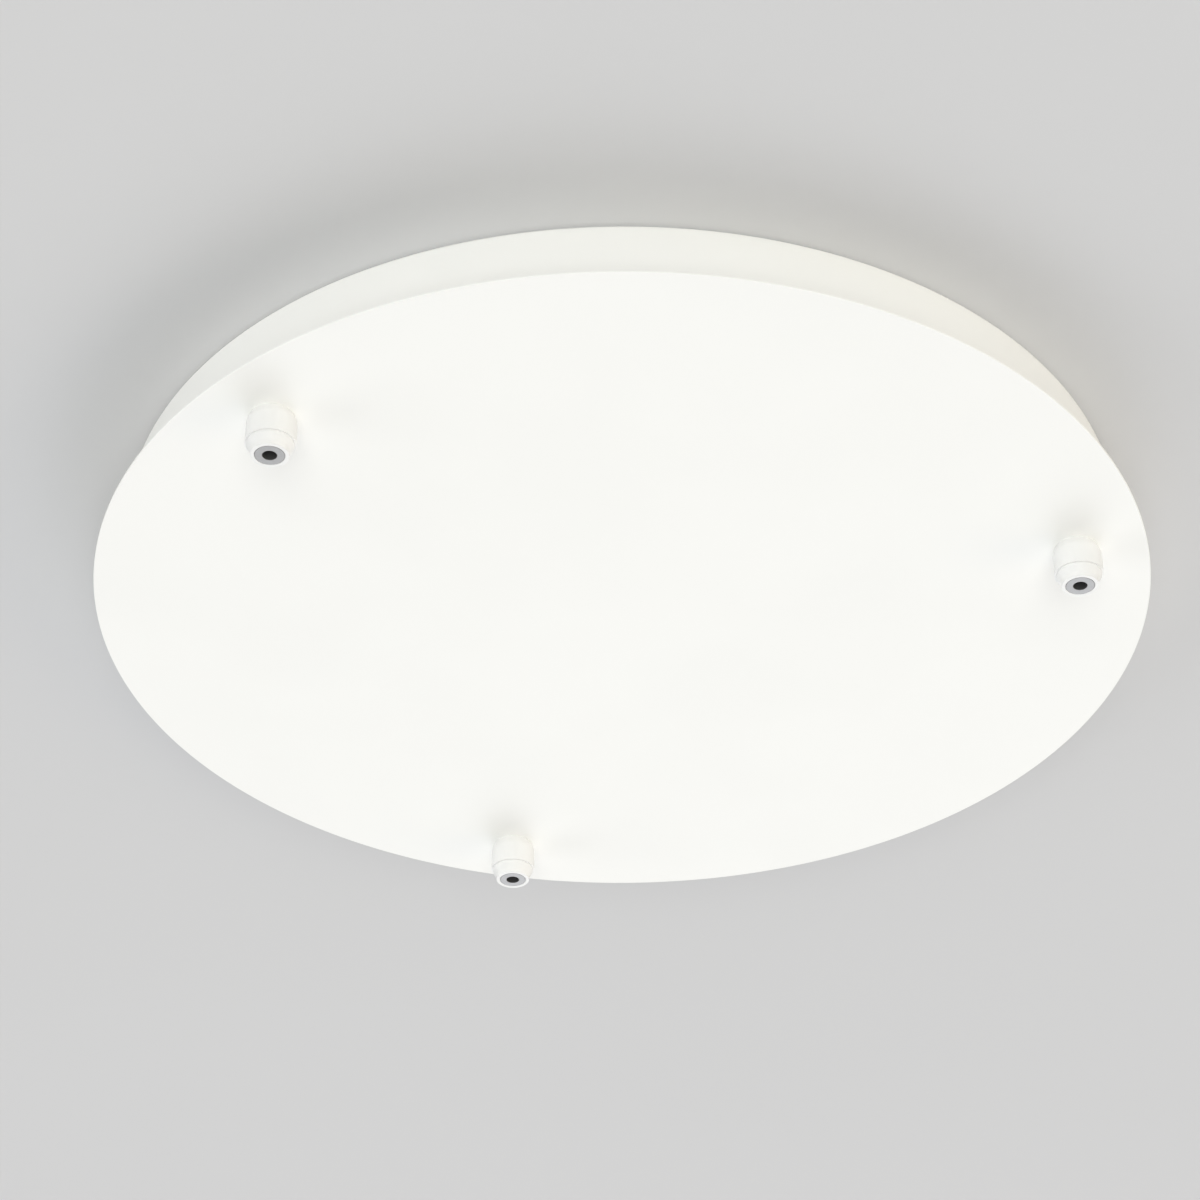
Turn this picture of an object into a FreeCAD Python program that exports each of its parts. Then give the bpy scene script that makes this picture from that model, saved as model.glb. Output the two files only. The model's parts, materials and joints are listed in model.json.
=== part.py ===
import FreeCAD
import Part
import math
import os

# Round ceiling rose for three pendant cords: a shallow steel pan on the ceiling, a flat steel cover
# that magnets hold under it, and three cord grips in the cover.
# Millimetres. +Z is up. The origin is on the ceiling plane, on the axis of the rose.

# Overall
HEIGHT = 30.0
COVER_DIAMETER = 400.0
COVER_THICKNESS = 1.0
COVER_EDGE_ROUND = 0.3
COVER_OVERHANG = 10.0

# Pan
PAN_SHEET = 1.0
PAN_BEND = 0.6
PAN_BEAD_DIAMETER = 200.0
PAN_BEAD_WIDTH = 8.0
PAN_BEAD_DEPTH = 2.0
PAN_BEAD_SLOPE = 3.0
PAN_DISH_DIAMETER = 56.0
PAN_DISH_DEPTH = 2.5
PAN_DISH_SLOPE = 4.0
PRESSED_BEND = 1.0

# Ceiling slots in the pan's back
CEILING_SLOT_SPACING_X = 200.0
CEILING_SLOT_SPACING_Y = 200.0
CEILING_SLOT_WIDTH = 5.5
CEILING_SLOT_LENGTH = 14.0

# Inlet grommet
GROMMET_BORE = 12.0
GROMMET_WALL = 1.9
GROMMET_LIP = 3.1
GROMMET_LIP_THICKNESS = 1.8
GROMMET_CLEARANCE = 0.05

# Magnets and their brackets
MAGNET_COUNT = 6
MAGNET_FIRST_ANGLE = 0.0
MAGNET_DIAMETER = 20.0
MAGNET_HEIGHT = 6.0
MAGNET_CUP_WALL = 1.5
MAGNET_CUP_FLOOR = 1.5
MAGNET_RING_CLEARANCE = 0.1
MAGNET_RING_RECESS = 0.2
MAGNET_AIR_GAP = 0.2
MAGNET_WALL_GAP = 7.0
BRACKET_SHEET = 1.5
BRACKET_BEND = 1.5
BRACKET_WIDTH = 24.0
BRACKET_FOOT = 20.0
BRACKET_WEB_GAP = 3.0
BRACKET_LEG_MARGIN = 2.0
BRACKET_CORNER = 3.0

# Fasteners
SMALL_THREAD = 4.0
SMALL_NUT_FLATS = 7.0
SMALL_NUT_HEIGHT = 3.2
SMALL_SCREW_HEAD = 8.0
MAGNET_SCREW_LENGTH = 12.0
THREAD_CLEARANCE = 0.1
HOLE_CLEARANCE = 0.2

# Earth studs
EARTH_STUD_LENGTH = 12.0
EARTH_STUD_FLANGE = 5.6
EARTH_STUD_FLANGE_THICKNESS = 0.8
EARTH_WASHER_DIAMETER = 9.0
EARTH_WASHER_THICKNESS = 0.8
EARTH_STUD_X = 42.0
EARTH_STUD_Y = 40.0

# Terminal block
TERMINAL_X = 62.0
TERMINAL_POLES = 3
TERMINAL_DEPTH = 20.0
TERMINAL_SIDE_WALL = 1.6
TERMINAL_INNER_WALL = 0.9
TERMINAL_ROOF = 2.0
TERMINAL_FLOOR = 4.0
TERMINAL_ROUND = 2.0
TERMINAL_WEB_HEIGHT = 4.0
TERMINAL_WEB_DEPTH = 12.0
TERMINAL_END_WALL = 1.2
TERMINAL_COLLAR_DIAMETER = 6.6
TERMINAL_COLLAR_HEIGHT = 1.6
SLEEVE_SIDE = 6.0
SLEEVE_CLEARANCE = 0.1
SLEEVE_WIRE_BORE = 3.8
TERMINAL_SCREW_DIAMETER = 3.0
TERMINAL_SCREW_LENGTH = 5.5
TERMINAL_SCREW_INSET = 5.5
BLOCK_SCREW_DIAMETER = 3.0
BLOCK_SCREW_HEAD = 5.6
BLOCK_SCREW_HEAD_HEIGHT = 2.2
BLOCK_SCREW_HEAD_ROUND = 0.8
BLOCK_SCREW_LENGTH = 8.0
BLOCK_NUT_FLATS = 5.5
BLOCK_NUT_HEIGHT = 2.4
HAT_SHEET = 1.0
HAT_BEND = 1.0
HAT_RISE = 5.0
HAT_WIDTH = 16.0
HAT_FOOT = 9.0
HAT_END_MARGIN = 7.0
HAT_CORNER = 2.0

# Locating lugs on the cover
LUG_COUNT = 3
LUG_SHEET = 1.0
LUG_BEND = 1.0
LUG_WIDTH = 14.0
LUG_FOOT = 15.0
LUG_HEIGHT = 15.0
LUG_LEAD_IN = 1.5
LUG_LEAD_IN_HEIGHT = 5.0
LUG_CLEARANCE = 0.4

# Outlets and their cord grips
OUTLET_COUNT = 3
OUTLET_FIRST_ANGLE = 270.0
OUTLET_WALL_GAP = 6.0
CORD_HOLE = 5.2
COLLET_END_WALL = 2.7
COLLET_FINGER_STEP = 0.2
COLLET_FLANGE_STEP = 0.8
COLLET_FLANGE_THICKNESS = 0.95
COLLET_FLANGE_GAP = 0.05
COLLET_FLANGE_CLEARANCE = 0.15
COLLET_CAP_CLEARANCE = 0.12
COLLET_SEAT_GAP = 0.3
COLLET_TOP_GAP = 0.3
COLLET_SLOTS = 3
COLLET_SLOT_WIDTH = 0.7
COLLET_SLOT_LENGTH = 5.0
CAP_SKIRT_WALL = 0.85
CAP_SKIRT_LENGTH = 5.0
CAP_SKIRT_TOP_GAP = 1.25
CAP_THREAD_CLEARANCE = 0.1
CAP_LEDGE = 0.15
CAP_SHOULDER_GAP = 0.1
CAP_STEP = 0.6
CAP_BAND = 0.9
CAP_NOSE_LENGTH = 4.9
CAP_RIM_WIDTH = 1.43
CAP_NECK_STEP = 0.15
CAP_NECK_FROM_END = 1.9
CAP_SHOULDER_ROUND = 1.0
CAP_NECK_ROUND = 1.5
CAP_EDGE_ROUND = 0.2
GRIP_BODY_WALL = 1.6
GRIP_BODY_LENGTH = 12.0
GRIP_BODY_TOP_ROUND = 0.2
GRIP_BODY_LOWER_ROUND = 0.4
GRIP_SEAT_MOUTH_GAP = 0.6
GRIP_SEAT_SLOPE = 0.5
GRIP_SEAT_LENGTH = 3.0
GRIP_POCKET = 1.0
GRIP_SHANK_THREAD = 10.0
GRIP_SHANK_END = 2.0
GRIP_WASHER_DIAMETER = 18.0
GRIP_WASHER_THICKNESS = 1.0
GRIP_NUT_FLATS = 14.0
GRIP_NUT_HEIGHT = 3.5
GRIP_NUT_CHAMFER = 0.6

# Worked out from the sizes above
cover_radius = COVER_DIAMETER / 2
pan_radius = cover_radius - COVER_OVERHANG
pan_inner_radius = pan_radius - PAN_SHEET
pan_underside = -PAN_SHEET
cover_top = -HEIGHT + COVER_THICKNESS
cover_face = -HEIGHT
outlet_radius = pan_inner_radius - OUTLET_WALL_GAP - GRIP_WASHER_DIAMETER / 2
magnet_radius = pan_inner_radius - MAGNET_WALL_GAP - MAGNET_DIAMETER / 2
magnet_face = cover_top + MAGNET_AIR_GAP
magnet_back = magnet_face + MAGNET_HEIGHT
inlet_hole_radius = GROMMET_BORE / 2 + GROMMET_WALL + GROMMET_CLEARANCE
outlet_angles = [OUTLET_FIRST_ANGLE + 360.0 * k / OUTLET_COUNT for k in range(OUTLET_COUNT)]
magnet_angles = [MAGNET_FIRST_ANGLE + 360.0 * k / MAGNET_COUNT for k in range(MAGNET_COUNT)]
lug_angles = [OUTLET_FIRST_ANGLE + 360.0 * (k + 0.5) / LUG_COUNT for k in range(LUG_COUNT)]

AXIS = FreeCAD.Vector(0, 0, 1)
ALONG_X = FreeCAD.Vector(1, 0, 0)
CENTRE = FreeCAD.Vector(0, 0, 0)
TINY = 1e-7


# Drawing and placing

def in_section(u, v):
    """A point of a section in the XZ plane."""
    return FreeCAD.Vector(u, 0, v)


def in_plan(u, v):
    """A point of a plan in the XY plane."""
    return FreeCAD.Vector(u, v, 0)


def in_side(u, v):
    """A point of a section in the YZ plane."""
    return FreeCAD.Vector(0, u, v)


def corner_cuts(before, here, after, radius):
    """Start, middle and end of the arc that rounds one corner of an outline."""
    back = (before - here).normalize()
    ahead = (after - here).normalize()
    half = back.getAngle(ahead) / 2
    bisector = (back + ahead).normalize()
    reach = radius / math.tan(half)
    middle = here + bisector * (radius / math.sin(half) - radius)
    return here + back * reach, middle, here + ahead * reach


def outline(corners, placed):
    """A closed face through corners (u, v, radius), with each corner rounded to its radius."""
    points = [FreeCAD.Vector(u, v, 0) for u, v, radius in corners]
    count = len(points)
    cuts = []
    for k, (u, v, radius) in enumerate(corners):
        if radius > 0:
            cuts.append(corner_cuts(points[k - 1], points[k], points[(k + 1) % count], radius))
        else:
            cuts.append((points[k], None, points[k]))
    edges = []
    for k in range(count):
        start, middle, end = [placed(p.x, p.y) if p else None for p in cuts[k]]
        following = placed(cuts[(k + 1) % count][0].x, cuts[(k + 1) % count][0].y)
        if middle:
            edges.append(Part.Arc(start, middle, end).toShape())
        if (following - end).Length > TINY:
            edges.append(Part.LineSegment(end, following).toShape())
    return Part.Face(Part.Wire(edges))


def strip_corners(path, thickness):
    """Corners of the section of a sheet bent along a centre line of (u, v, inner bend radius)."""
    points = [FreeCAD.Vector(u, v, 0) for u, v, bend in path]
    runs = [(b - a).normalize() for a, b in zip(points, points[1:])]
    normals = [FreeCAD.Vector(-run.y, run.x, 0) for run in runs]
    sides = {1: [], -1: []}
    for side in sides:
        for k, point in enumerate(points):
            first = normals[max(k - 1, 0)]
            second = normals[min(k, len(normals) - 1)]
            reach = side * thickness / 2 / (1 + first.dot(second))
            corner = point + (first + second) * reach
            radius = 0.0
            if 0 < k < len(points) - 1:
                outside = runs[k - 1].cross(runs[k]).z * side < 0
                radius = path[k][2] + thickness * outside
            sides[side].append((corner.x, corner.y, radius))
    return sides[1] + sides[-1][::-1]


def turned(corners):
    """A solid turned about the Z axis from a section of (radius, height, rounding)."""
    return outline(corners, in_section).revolve(CENTRE, AXIS, 360)


def plain(pairs):
    """The same corners, all sharp."""
    return [(u, v, 0.0) for u, v in pairs]


def ring(inner_radius, outer_radius, bottom, top):
    """A flat ring about the Z axis."""
    return turned(plain([
        (inner_radius, bottom), (outer_radius, bottom), (outer_radius, top), (inner_radius, top)]))


def rod(radius, bottom, top, x=0.0, y=0.0):
    """An upright cylinder."""
    return Part.makeCylinder(radius, top - bottom, FreeCAD.Vector(x, y, bottom))


def block(low, high):
    """A box between two opposite corners."""
    size = [b - a for a, b in zip(low, high)]
    return Part.makeBox(size[0], size[1], size[2], FreeCAD.Vector(*low))


def hexagon(flats, bottom, top, bore_radius, chamfer=0.0):
    """A hexagon nut about the Z axis, its corners chamfered both ends where asked."""
    corner = flats / 2 / math.cos(math.radians(30))
    points = [in_plan(corner * math.cos(math.radians(a)), corner * math.sin(math.radians(a)))
              for a in range(0, 360, 60)]
    face = Part.Face(Part.makePolygon(points + [points[0]]))
    face.translate(FreeCAD.Vector(0, 0, bottom))
    nut = face.extrude(FreeCAD.Vector(0, 0, top - bottom))
    if chamfer > 0:
        drop = chamfer * math.tan(math.radians(30))
        nut = nut.common(turned(plain([
            (0, bottom), (corner - chamfer, bottom), (corner, bottom + drop),
            (corner, top - drop), (corner - chamfer, top), (0, top)])))
    return nut.cut(rod(bore_radius, bottom - 1, top + 1))


def extruded(corners, placed, along):
    """An outline pushed along a vector, half of it to each side of its plane."""
    face = outline(corners, placed)
    face.translate(along * -0.5)
    return face.extrude(along)


def slot(length, width, bottom, top):
    """A round-ended slot along X."""
    reach = (length - width) / 2
    shape = block((-reach, -width / 2, bottom), (reach, width / 2, top))
    for x in (-reach, reach):
        shape = shape.fuse(rod(width / 2, bottom, top, x))
    return shape.removeSplitter()


def moved(shape, x=0.0, y=0.0, z=0.0):
    """A copy shifted from where it is."""
    copy = shape.copy()
    copy.translate(FreeCAD.Vector(x, y, z))
    return copy


def swung(shape, angle):
    """A copy turned about the axis of the rose."""
    copy = shape.copy()
    copy.rotate(CENTRE, AXIS, angle)
    return copy


def fillet_upright(shape, radius, wanted):
    """Rounds the upright edges whose middle passes a test."""
    edges = []
    for edge in shape.Edges:
        ends = [v.Point for v in edge.Vertexes]
        if len(ends) == 2 and abs((ends[1] - ends[0]).normalize().z) > 1 - TINY:
            if wanted((ends[0] + ends[1]) * 0.5):
                edges.append(edge)
    return shape.makeFillet(radius, edges)


# Pan

def base_pan():
    """Drawn pan: dished centre, one pressed bead, rounded back edge and a plain wall."""
    half = PAN_SHEET / 2
    dish = PAN_DISH_DIAMETER / 2
    bead = PAN_BEAD_DIAMETER / 2
    level = -half
    pan = turned(strip_corners([
        (inlet_hole_radius, level - PAN_DISH_DEPTH, 0.0),
        (dish, level - PAN_DISH_DEPTH, PRESSED_BEND),
        (dish + PAN_DISH_SLOPE, level, PRESSED_BEND),
        (bead - PAN_BEAD_WIDTH / 2 - PAN_BEAD_SLOPE, level, PRESSED_BEND),
        (bead - PAN_BEAD_WIDTH / 2, level - PAN_BEAD_DEPTH, PRESSED_BEND),
        (bead + PAN_BEAD_WIDTH / 2, level - PAN_BEAD_DEPTH, PRESSED_BEND),
        (bead + PAN_BEAD_WIDTH / 2 + PAN_BEAD_SLOPE, level, PRESSED_BEND),
        (pan_radius - half, level, PAN_BEND),
        (pan_radius - half, cover_top, 0.0),
    ], PAN_SHEET))
    for x in (-CEILING_SLOT_SPACING_X / 2, CEILING_SLOT_SPACING_X / 2):
        for y in (-CEILING_SLOT_SPACING_Y / 2, CEILING_SLOT_SPACING_Y / 2):
            cutter = slot(CEILING_SLOT_LENGTH, CEILING_SLOT_WIDTH, -2 * PAN_SHEET, PAN_SHEET)
            pan = pan.cut(moved(cutter, x, y))
    return pan


def inlet_grommet():
    """Rubber grommet whose groove grips the edge of the hole in the dish."""
    bore = GROMMET_BORE / 2
    groove = bore + GROMMET_WALL
    lip = groove + GROMMET_LIP
    plate_top = -PAN_DISH_DEPTH
    plate_bottom = plate_top - PAN_SHEET
    upper = plate_top + GROMMET_CLEARANCE
    lower = plate_bottom - GROMMET_CLEARANCE
    edge = GROMMET_LIP_THICKNESS / 3
    return turned([
        (bore, lower - GROMMET_LIP_THICKNESS, edge), (lip, lower - GROMMET_LIP_THICKNESS, edge),
        (lip, lower, 0.0), (groove, lower, 0.0), (groove, upper, 0.0), (lip, upper, 0.0),
        (lip, upper + GROMMET_LIP_THICKNESS, edge), (bore, upper + GROMMET_LIP_THICKNESS, edge)])


# Magnets

def magnet_bracket():
    """Z-shaped bracket: foot under the pan's back, web, and an outer leg that carries a magnet."""
    half = BRACKET_SHEET / 2
    web = magnet_radius - MAGNET_DIAMETER / 2 - BRACKET_WEB_GAP - half
    leg_end = magnet_radius + MAGNET_DIAMETER / 2 + BRACKET_LEG_MARGIN
    corners = strip_corners([
        (web - BRACKET_FOOT, pan_underside - half, 0.0),
        (web, pan_underside - half, BRACKET_BEND),
        (web, magnet_back + half, BRACKET_BEND),
        (leg_end, magnet_back + half, 0.0),
    ], BRACKET_SHEET)
    bracket = extruded(corners, in_section, FreeCAD.Vector(0, BRACKET_WIDTH, 0))
    ends = (web - BRACKET_FOOT, leg_end)
    bracket = fillet_upright(bracket, BRACKET_CORNER, lambda p: min(abs(p.x - end) for end in ends) < TINY)
    hole_radius = SMALL_THREAD / 2 + HOLE_CLEARANCE
    return bracket.cut(rod(hole_radius, magnet_back - 1, magnet_back + BRACKET_SHEET + 1, magnet_radius))


def magnet_cup():
    """Steel cup of a pot magnet, open downwards, with its screw hole."""
    radius = MAGNET_DIAMETER / 2
    hole = SMALL_THREAD / 2 + HOLE_CLEARANCE
    inside = radius - MAGNET_CUP_WALL
    ceiling = magnet_back - MAGNET_CUP_FLOOR
    cup = turned(plain([
        (hole, ceiling), (inside, ceiling), (inside, magnet_face), (radius, magnet_face),
        (radius, magnet_back), (hole, magnet_back)]))
    return moved(cup, magnet_radius)


def magnet_ring():
    """Magnet inside the cup, countersunk for its screw."""
    outside = MAGNET_DIAMETER / 2 - MAGNET_CUP_WALL - MAGNET_RING_CLEARANCE
    hole = SMALL_THREAD / 2 + HOLE_CLEARANCE
    mouth = SMALL_SCREW_HEAD / 2 + HOLE_CLEARANCE
    bottom = magnet_face + MAGNET_RING_RECESS
    top = magnet_back - MAGNET_CUP_FLOOR
    magnet = turned(plain([
        (mouth, bottom), (outside, bottom), (outside, top), (hole, top), (hole, bottom + mouth - hole)]))
    return moved(magnet, magnet_radius)


def magnet_screw():
    """Countersunk screw through magnet, cup and bracket."""
    head = SMALL_SCREW_HEAD / 2
    shank = SMALL_THREAD / 2
    bottom = magnet_face + MAGNET_RING_RECESS
    screw = turned(plain([
        (0, bottom), (head, bottom), (shank, bottom + head - shank),
        (shank, bottom + MAGNET_SCREW_LENGTH), (0, bottom + MAGNET_SCREW_LENGTH)]))
    return moved(screw, magnet_radius)


def magnet_nut():
    """Nut on the bracket's leg."""
    bottom = magnet_back + BRACKET_SHEET
    nut = hexagon(SMALL_NUT_FLATS, bottom, bottom + SMALL_NUT_HEIGHT, SMALL_THREAD / 2 + THREAD_CLEARANCE)
    return moved(nut, magnet_radius)


# Earth studs

def earth_stud():
    """Weld stud that rises from the plane z = 0."""
    flange = EARTH_STUD_FLANGE / 2
    shank = SMALL_THREAD / 2
    return turned(plain([
        (0, 0), (flange, 0), (flange, EARTH_STUD_FLANGE_THICKNESS), (shank, EARTH_STUD_FLANGE_THICKNESS),
        (shank, EARTH_STUD_LENGTH), (0, EARTH_STUD_LENGTH)]))


def earth_washer():
    """Washer on the stud's flange."""
    bottom = EARTH_STUD_FLANGE_THICKNESS
    return ring(SMALL_THREAD / 2 + HOLE_CLEARANCE, EARTH_WASHER_DIAMETER / 2,
                bottom, bottom + EARTH_WASHER_THICKNESS)


def earth_nut():
    """Nut on the washer."""
    bottom = EARTH_STUD_FLANGE_THICKNESS + EARTH_WASHER_THICKNESS
    return hexagon(SMALL_NUT_FLATS, bottom, bottom + SMALL_NUT_HEIGHT, SMALL_THREAD / 2 + THREAD_CLEARANCE)


def on_pan(shape):
    """Hangs an earth piece from the pan's underside."""
    copy = shape.copy()
    copy.rotate(CENTRE, ALONG_X, 180)
    return moved(copy, EARTH_STUD_X, EARTH_STUD_Y, pan_underside)


def on_cover(shape):
    """Stands an earth piece on the cover's upper face."""
    return moved(shape, EARTH_STUD_X, -EARTH_STUD_Y, cover_top)


# Terminal block

hat_top = pan_underside - HAT_RISE
block_top = hat_top - HAT_SHEET
sleeve_room = SLEEVE_SIDE / 2 + SLEEVE_CLEARANCE
block_head_room = BLOCK_SCREW_HEAD / 2 + HOLE_CLEARANCE
pole_pitch = 2 * (sleeve_room + TERMINAL_INNER_WALL + block_head_room)
pole_places = [(k - (TERMINAL_POLES - 1) / 2) * pole_pitch for k in range(TERMINAL_POLES)]
web_places = [(a + b) / 2 for a, b in zip(pole_places, pole_places[1:])]
sleeve_length = TERMINAL_DEPTH - 2 * TERMINAL_END_WALL - 2 * SLEEVE_CLEARANCE
sleeve_top = block_top - TERMINAL_ROOF
sleeve_bottom = sleeve_top - SLEEVE_SIDE
screw_places = [s * (sleeve_length / 2 - TERMINAL_SCREW_INSET) for s in (-1, 1)]
block_bottom = sleeve_bottom - TERMINAL_FLOOR


def terminal_bracket():
    """Hat-shaped bracket: two feet under the pan's back and a raised table for the block."""
    half = HAT_SHEET / 2
    table = pole_places[-1] + sleeve_room + TERMINAL_SIDE_WALL + HAT_END_MARGIN
    reach = table + HAT_FOOT
    corners = strip_corners([
        (-reach, pan_underside - half, 0.0), (-table, pan_underside - half, HAT_BEND),
        (-table, hat_top - half, HAT_BEND), (table, hat_top - half, HAT_BEND),
        (table, pan_underside - half, HAT_BEND), (reach, pan_underside - half, 0.0),
    ], HAT_SHEET)
    hat = extruded(corners, in_side, FreeCAD.Vector(HAT_WIDTH, 0, 0))
    hat = fillet_upright(hat, HAT_CORNER, lambda p: abs(abs(p.y) - reach) < TINY)
    for y in web_places:
        hat = hat.cut(rod(BLOCK_SCREW_DIAMETER / 2 + HOLE_CLEARANCE, block_top - 1, hat_top + 1, 0, y))
    return moved(hat, TERMINAL_X)


def terminal_block():
    """Moulded block: a rounded barrel for each pole, webs between them, screw collars below."""
    barrels = []
    half_width = sleeve_room + TERMINAL_SIDE_WALL
    along = FreeCAD.Vector(TERMINAL_DEPTH, 0, 0)
    for y in pole_places:
        corners = [
            (y - half_width, block_top, 0.0), (y + half_width, block_top, 0.0),
            (y + half_width, block_bottom, TERMINAL_ROUND), (y - half_width, block_bottom, TERMINAL_ROUND)]
        barrel = extruded(corners, in_side, along)
        for x in screw_places:
            collar_radius = TERMINAL_COLLAR_DIAMETER / 2
            collar = rod(collar_radius, block_bottom - TERMINAL_COLLAR_HEIGHT, block_bottom + 1, x, y)
            barrel = barrel.fuse(collar)
        barrels.append(barrel)
    body = barrels[0].multiFuse(barrels[1:])
    for y in web_places:
        reach = pole_pitch / 2
        web = block((-TERMINAL_WEB_DEPTH / 2, y - reach, block_top - TERMINAL_WEB_HEIGHT),
                    (TERMINAL_WEB_DEPTH / 2, y + reach, block_top))
        body = body.fuse(web)
        hole = rod(BLOCK_SCREW_DIAMETER / 2 + HOLE_CLEARANCE, block_bottom, block_top + 1, 0, y)
        head_room = rod(block_head_room, block_bottom - 1, block_top - TERMINAL_WEB_HEIGHT, 0, y)
        body = body.cut(hole).cut(head_room)
    inside = sleeve_length / 2 + SLEEVE_CLEARANCE
    middle = (sleeve_top + sleeve_bottom) / 2
    for y in pole_places:
        body = body.cut(block((-inside, y - sleeve_room, middle - sleeve_room),
                              (inside, y + sleeve_room, middle + sleeve_room)))
        start = FreeCAD.Vector(-TERMINAL_DEPTH / 2 - 1, y, middle)
        wire = Part.makeCylinder(SLEEVE_WIRE_BORE / 2 + HOLE_CLEARANCE, TERMINAL_DEPTH + 2, start, ALONG_X)
        body = body.cut(wire)
        for x in screw_places:
            access = rod(TERMINAL_SCREW_DIAMETER / 2 + 2 * HOLE_CLEARANCE,
                         block_bottom - TERMINAL_COLLAR_HEIGHT - 1, middle, x, y)
            body = body.cut(access)
    return moved(body.removeSplitter(), TERMINAL_X)


def terminal_sleeve(y):
    """Brass sleeve of one pole, with its wire bore and two screw holes."""
    half = SLEEVE_SIDE / 2
    middle = (sleeve_top + sleeve_bottom) / 2
    sleeve = block((-sleeve_length / 2, y - half, sleeve_bottom), (sleeve_length / 2, y + half, sleeve_top))
    start = FreeCAD.Vector(-sleeve_length / 2 - 1, y, middle)
    sleeve = sleeve.cut(Part.makeCylinder(SLEEVE_WIRE_BORE / 2, sleeve_length + 2, start, ALONG_X))
    for x in screw_places:
        hole = rod(TERMINAL_SCREW_DIAMETER / 2 + THREAD_CLEARANCE, sleeve_bottom - 1, middle, x, y)
        sleeve = sleeve.cut(hole)
    return moved(sleeve, TERMINAL_X)


def terminal_screws():
    """Two set screws in each pole, level with the foot of their collars."""
    top = (sleeve_top + sleeve_bottom) / 2
    screws = [rod(TERMINAL_SCREW_DIAMETER / 2, top - TERMINAL_SCREW_LENGTH, top, x, y)
              for y in pole_places for x in screw_places]
    return moved(Part.makeCompound(screws), TERMINAL_X)


def block_screws():
    """Screws that hold the block under its bracket."""
    seat = block_top - TERMINAL_WEB_HEIGHT
    head = BLOCK_SCREW_HEAD / 2
    shank = BLOCK_SCREW_DIAMETER / 2
    head_end = seat - BLOCK_SCREW_HEAD_HEIGHT
    tip = seat + BLOCK_SCREW_LENGTH
    screw = turned([
        (0, head_end, 0.0), (head, head_end, BLOCK_SCREW_HEAD_ROUND), (head, seat, 0.0),
        (shank, seat, 0.0), (shank, tip, 0.0), (0, tip, 0.0)])
    return Part.makeCompound([moved(screw, TERMINAL_X, y) for y in web_places])


def block_nuts():
    """Nuts above the bracket's table."""
    bore_radius = BLOCK_SCREW_DIAMETER / 2 + THREAD_CLEARANCE
    nut = hexagon(BLOCK_NUT_FLATS, hat_top, hat_top + BLOCK_NUT_HEIGHT, bore_radius)
    return Part.makeCompound([moved(nut, TERMINAL_X, y) for y in web_places])


# Cover

def cover_plate():
    """Flat disc with rounded edges and one hole for each grip."""
    plate = turned([
        (0, cover_face, 0.0), (cover_radius, cover_face, COVER_EDGE_ROUND),
        (cover_radius, cover_top, COVER_EDGE_ROUND), (0, cover_top, 0.0)])
    hole = rod(GRIP_SHANK_THREAD / 2 + HOLE_CLEARANCE, cover_face - 1, cover_top + 1, outlet_radius)
    for angle in outlet_angles:
        plate = plate.cut(swung(hole, angle))
    return plate


def locating_lug():
    """Angle welded on the cover; its upright slides inside the pan's wall."""
    half = LUG_SHEET / 2
    face = math.sqrt((pan_inner_radius - LUG_CLEARANCE) ** 2 - (LUG_WIDTH / 2) ** 2)
    upright = face - half
    corners = strip_corners([
        (upright - LUG_FOOT, cover_top + half, 0.0),
        (upright, cover_top + half, LUG_BEND),
        (upright, cover_top + LUG_HEIGHT - LUG_LEAD_IN_HEIGHT, LUG_BEND),
        (upright - LUG_LEAD_IN, cover_top + LUG_HEIGHT, 0.0),
    ], LUG_SHEET)
    return extruded(corners, in_section, FreeCAD.Vector(0, LUG_WIDTH, 0))


# Cord grips, drawn about the Z axis with the cover's lower face at z = 0, from the cord outwards

cord_radius = CORD_HOLE / 2
collet_end_radius = cord_radius + COLLET_END_WALL
finger_radius = collet_end_radius + COLLET_FINGER_STEP
flange_radius = finger_radius + COLLET_FLANGE_STEP
skirt_bore_radius = flange_radius + COLLET_FLANGE_CLEARANCE
skirt_radius = skirt_bore_radius + CAP_SKIRT_WALL
body_bore_radius = skirt_radius + CAP_THREAD_CLEARANCE
body_radius = body_bore_radius + GRIP_BODY_WALL
cap_opening_radius = collet_end_radius + COLLET_CAP_CLEARANCE
cap_rim_radius = cap_opening_radius + CAP_RIM_WIDTH
seat_mouth_radius = finger_radius + GRIP_SEAT_MOUTH_GAP
seat_top_radius = seat_mouth_radius - GRIP_SEAT_SLOPE * GRIP_SEAT_LENGTH

washer_top = COVER_THICKNESS + GRIP_WASHER_THICKNESS
nut_top = washer_top + GRIP_NUT_HEIGHT
shank_top = nut_top + GRIP_SHANK_END
body_end = -GRIP_BODY_LENGTH
cap_shoulder = body_end - CAP_SHOULDER_GAP
cap_ledge = cap_shoulder + CAP_LEDGE
grip_end = cap_shoulder - CAP_NOSE_LENGTH
skirt_top = cap_shoulder + CAP_SKIRT_LENGTH
bore_roof = skirt_top + CAP_SKIRT_TOP_GAP
seat_roof = bore_roof + GRIP_SEAT_LENGTH
pocket_roof = seat_roof + GRIP_POCKET
collet_top = seat_roof - COLLET_TOP_GAP
flange_bottom = cap_ledge + COLLET_FLANGE_GAP
flange_top = flange_bottom + COLLET_FLANGE_THICKNESS


def grip_body():
    """Moulded body: threaded shank above, cap thread and tapered collet seat inside."""
    shank = GRIP_SHANK_THREAD / 2
    return turned([
        (cord_radius, shank_top, 0.0), (shank, shank_top, 0.0), (shank, 0.0, 0.0),
        (body_radius, 0.0, GRIP_BODY_TOP_ROUND), (body_radius, body_end, GRIP_BODY_LOWER_ROUND),
        (body_bore_radius, body_end, 0.0), (body_bore_radius, bore_roof, 0.0),
        (seat_mouth_radius, bore_roof, 0.0), (seat_top_radius, seat_roof, 0.0),
        (seat_top_radius, pocket_roof, 0.0), (cord_radius, pocket_roof, 0.0)])


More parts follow.
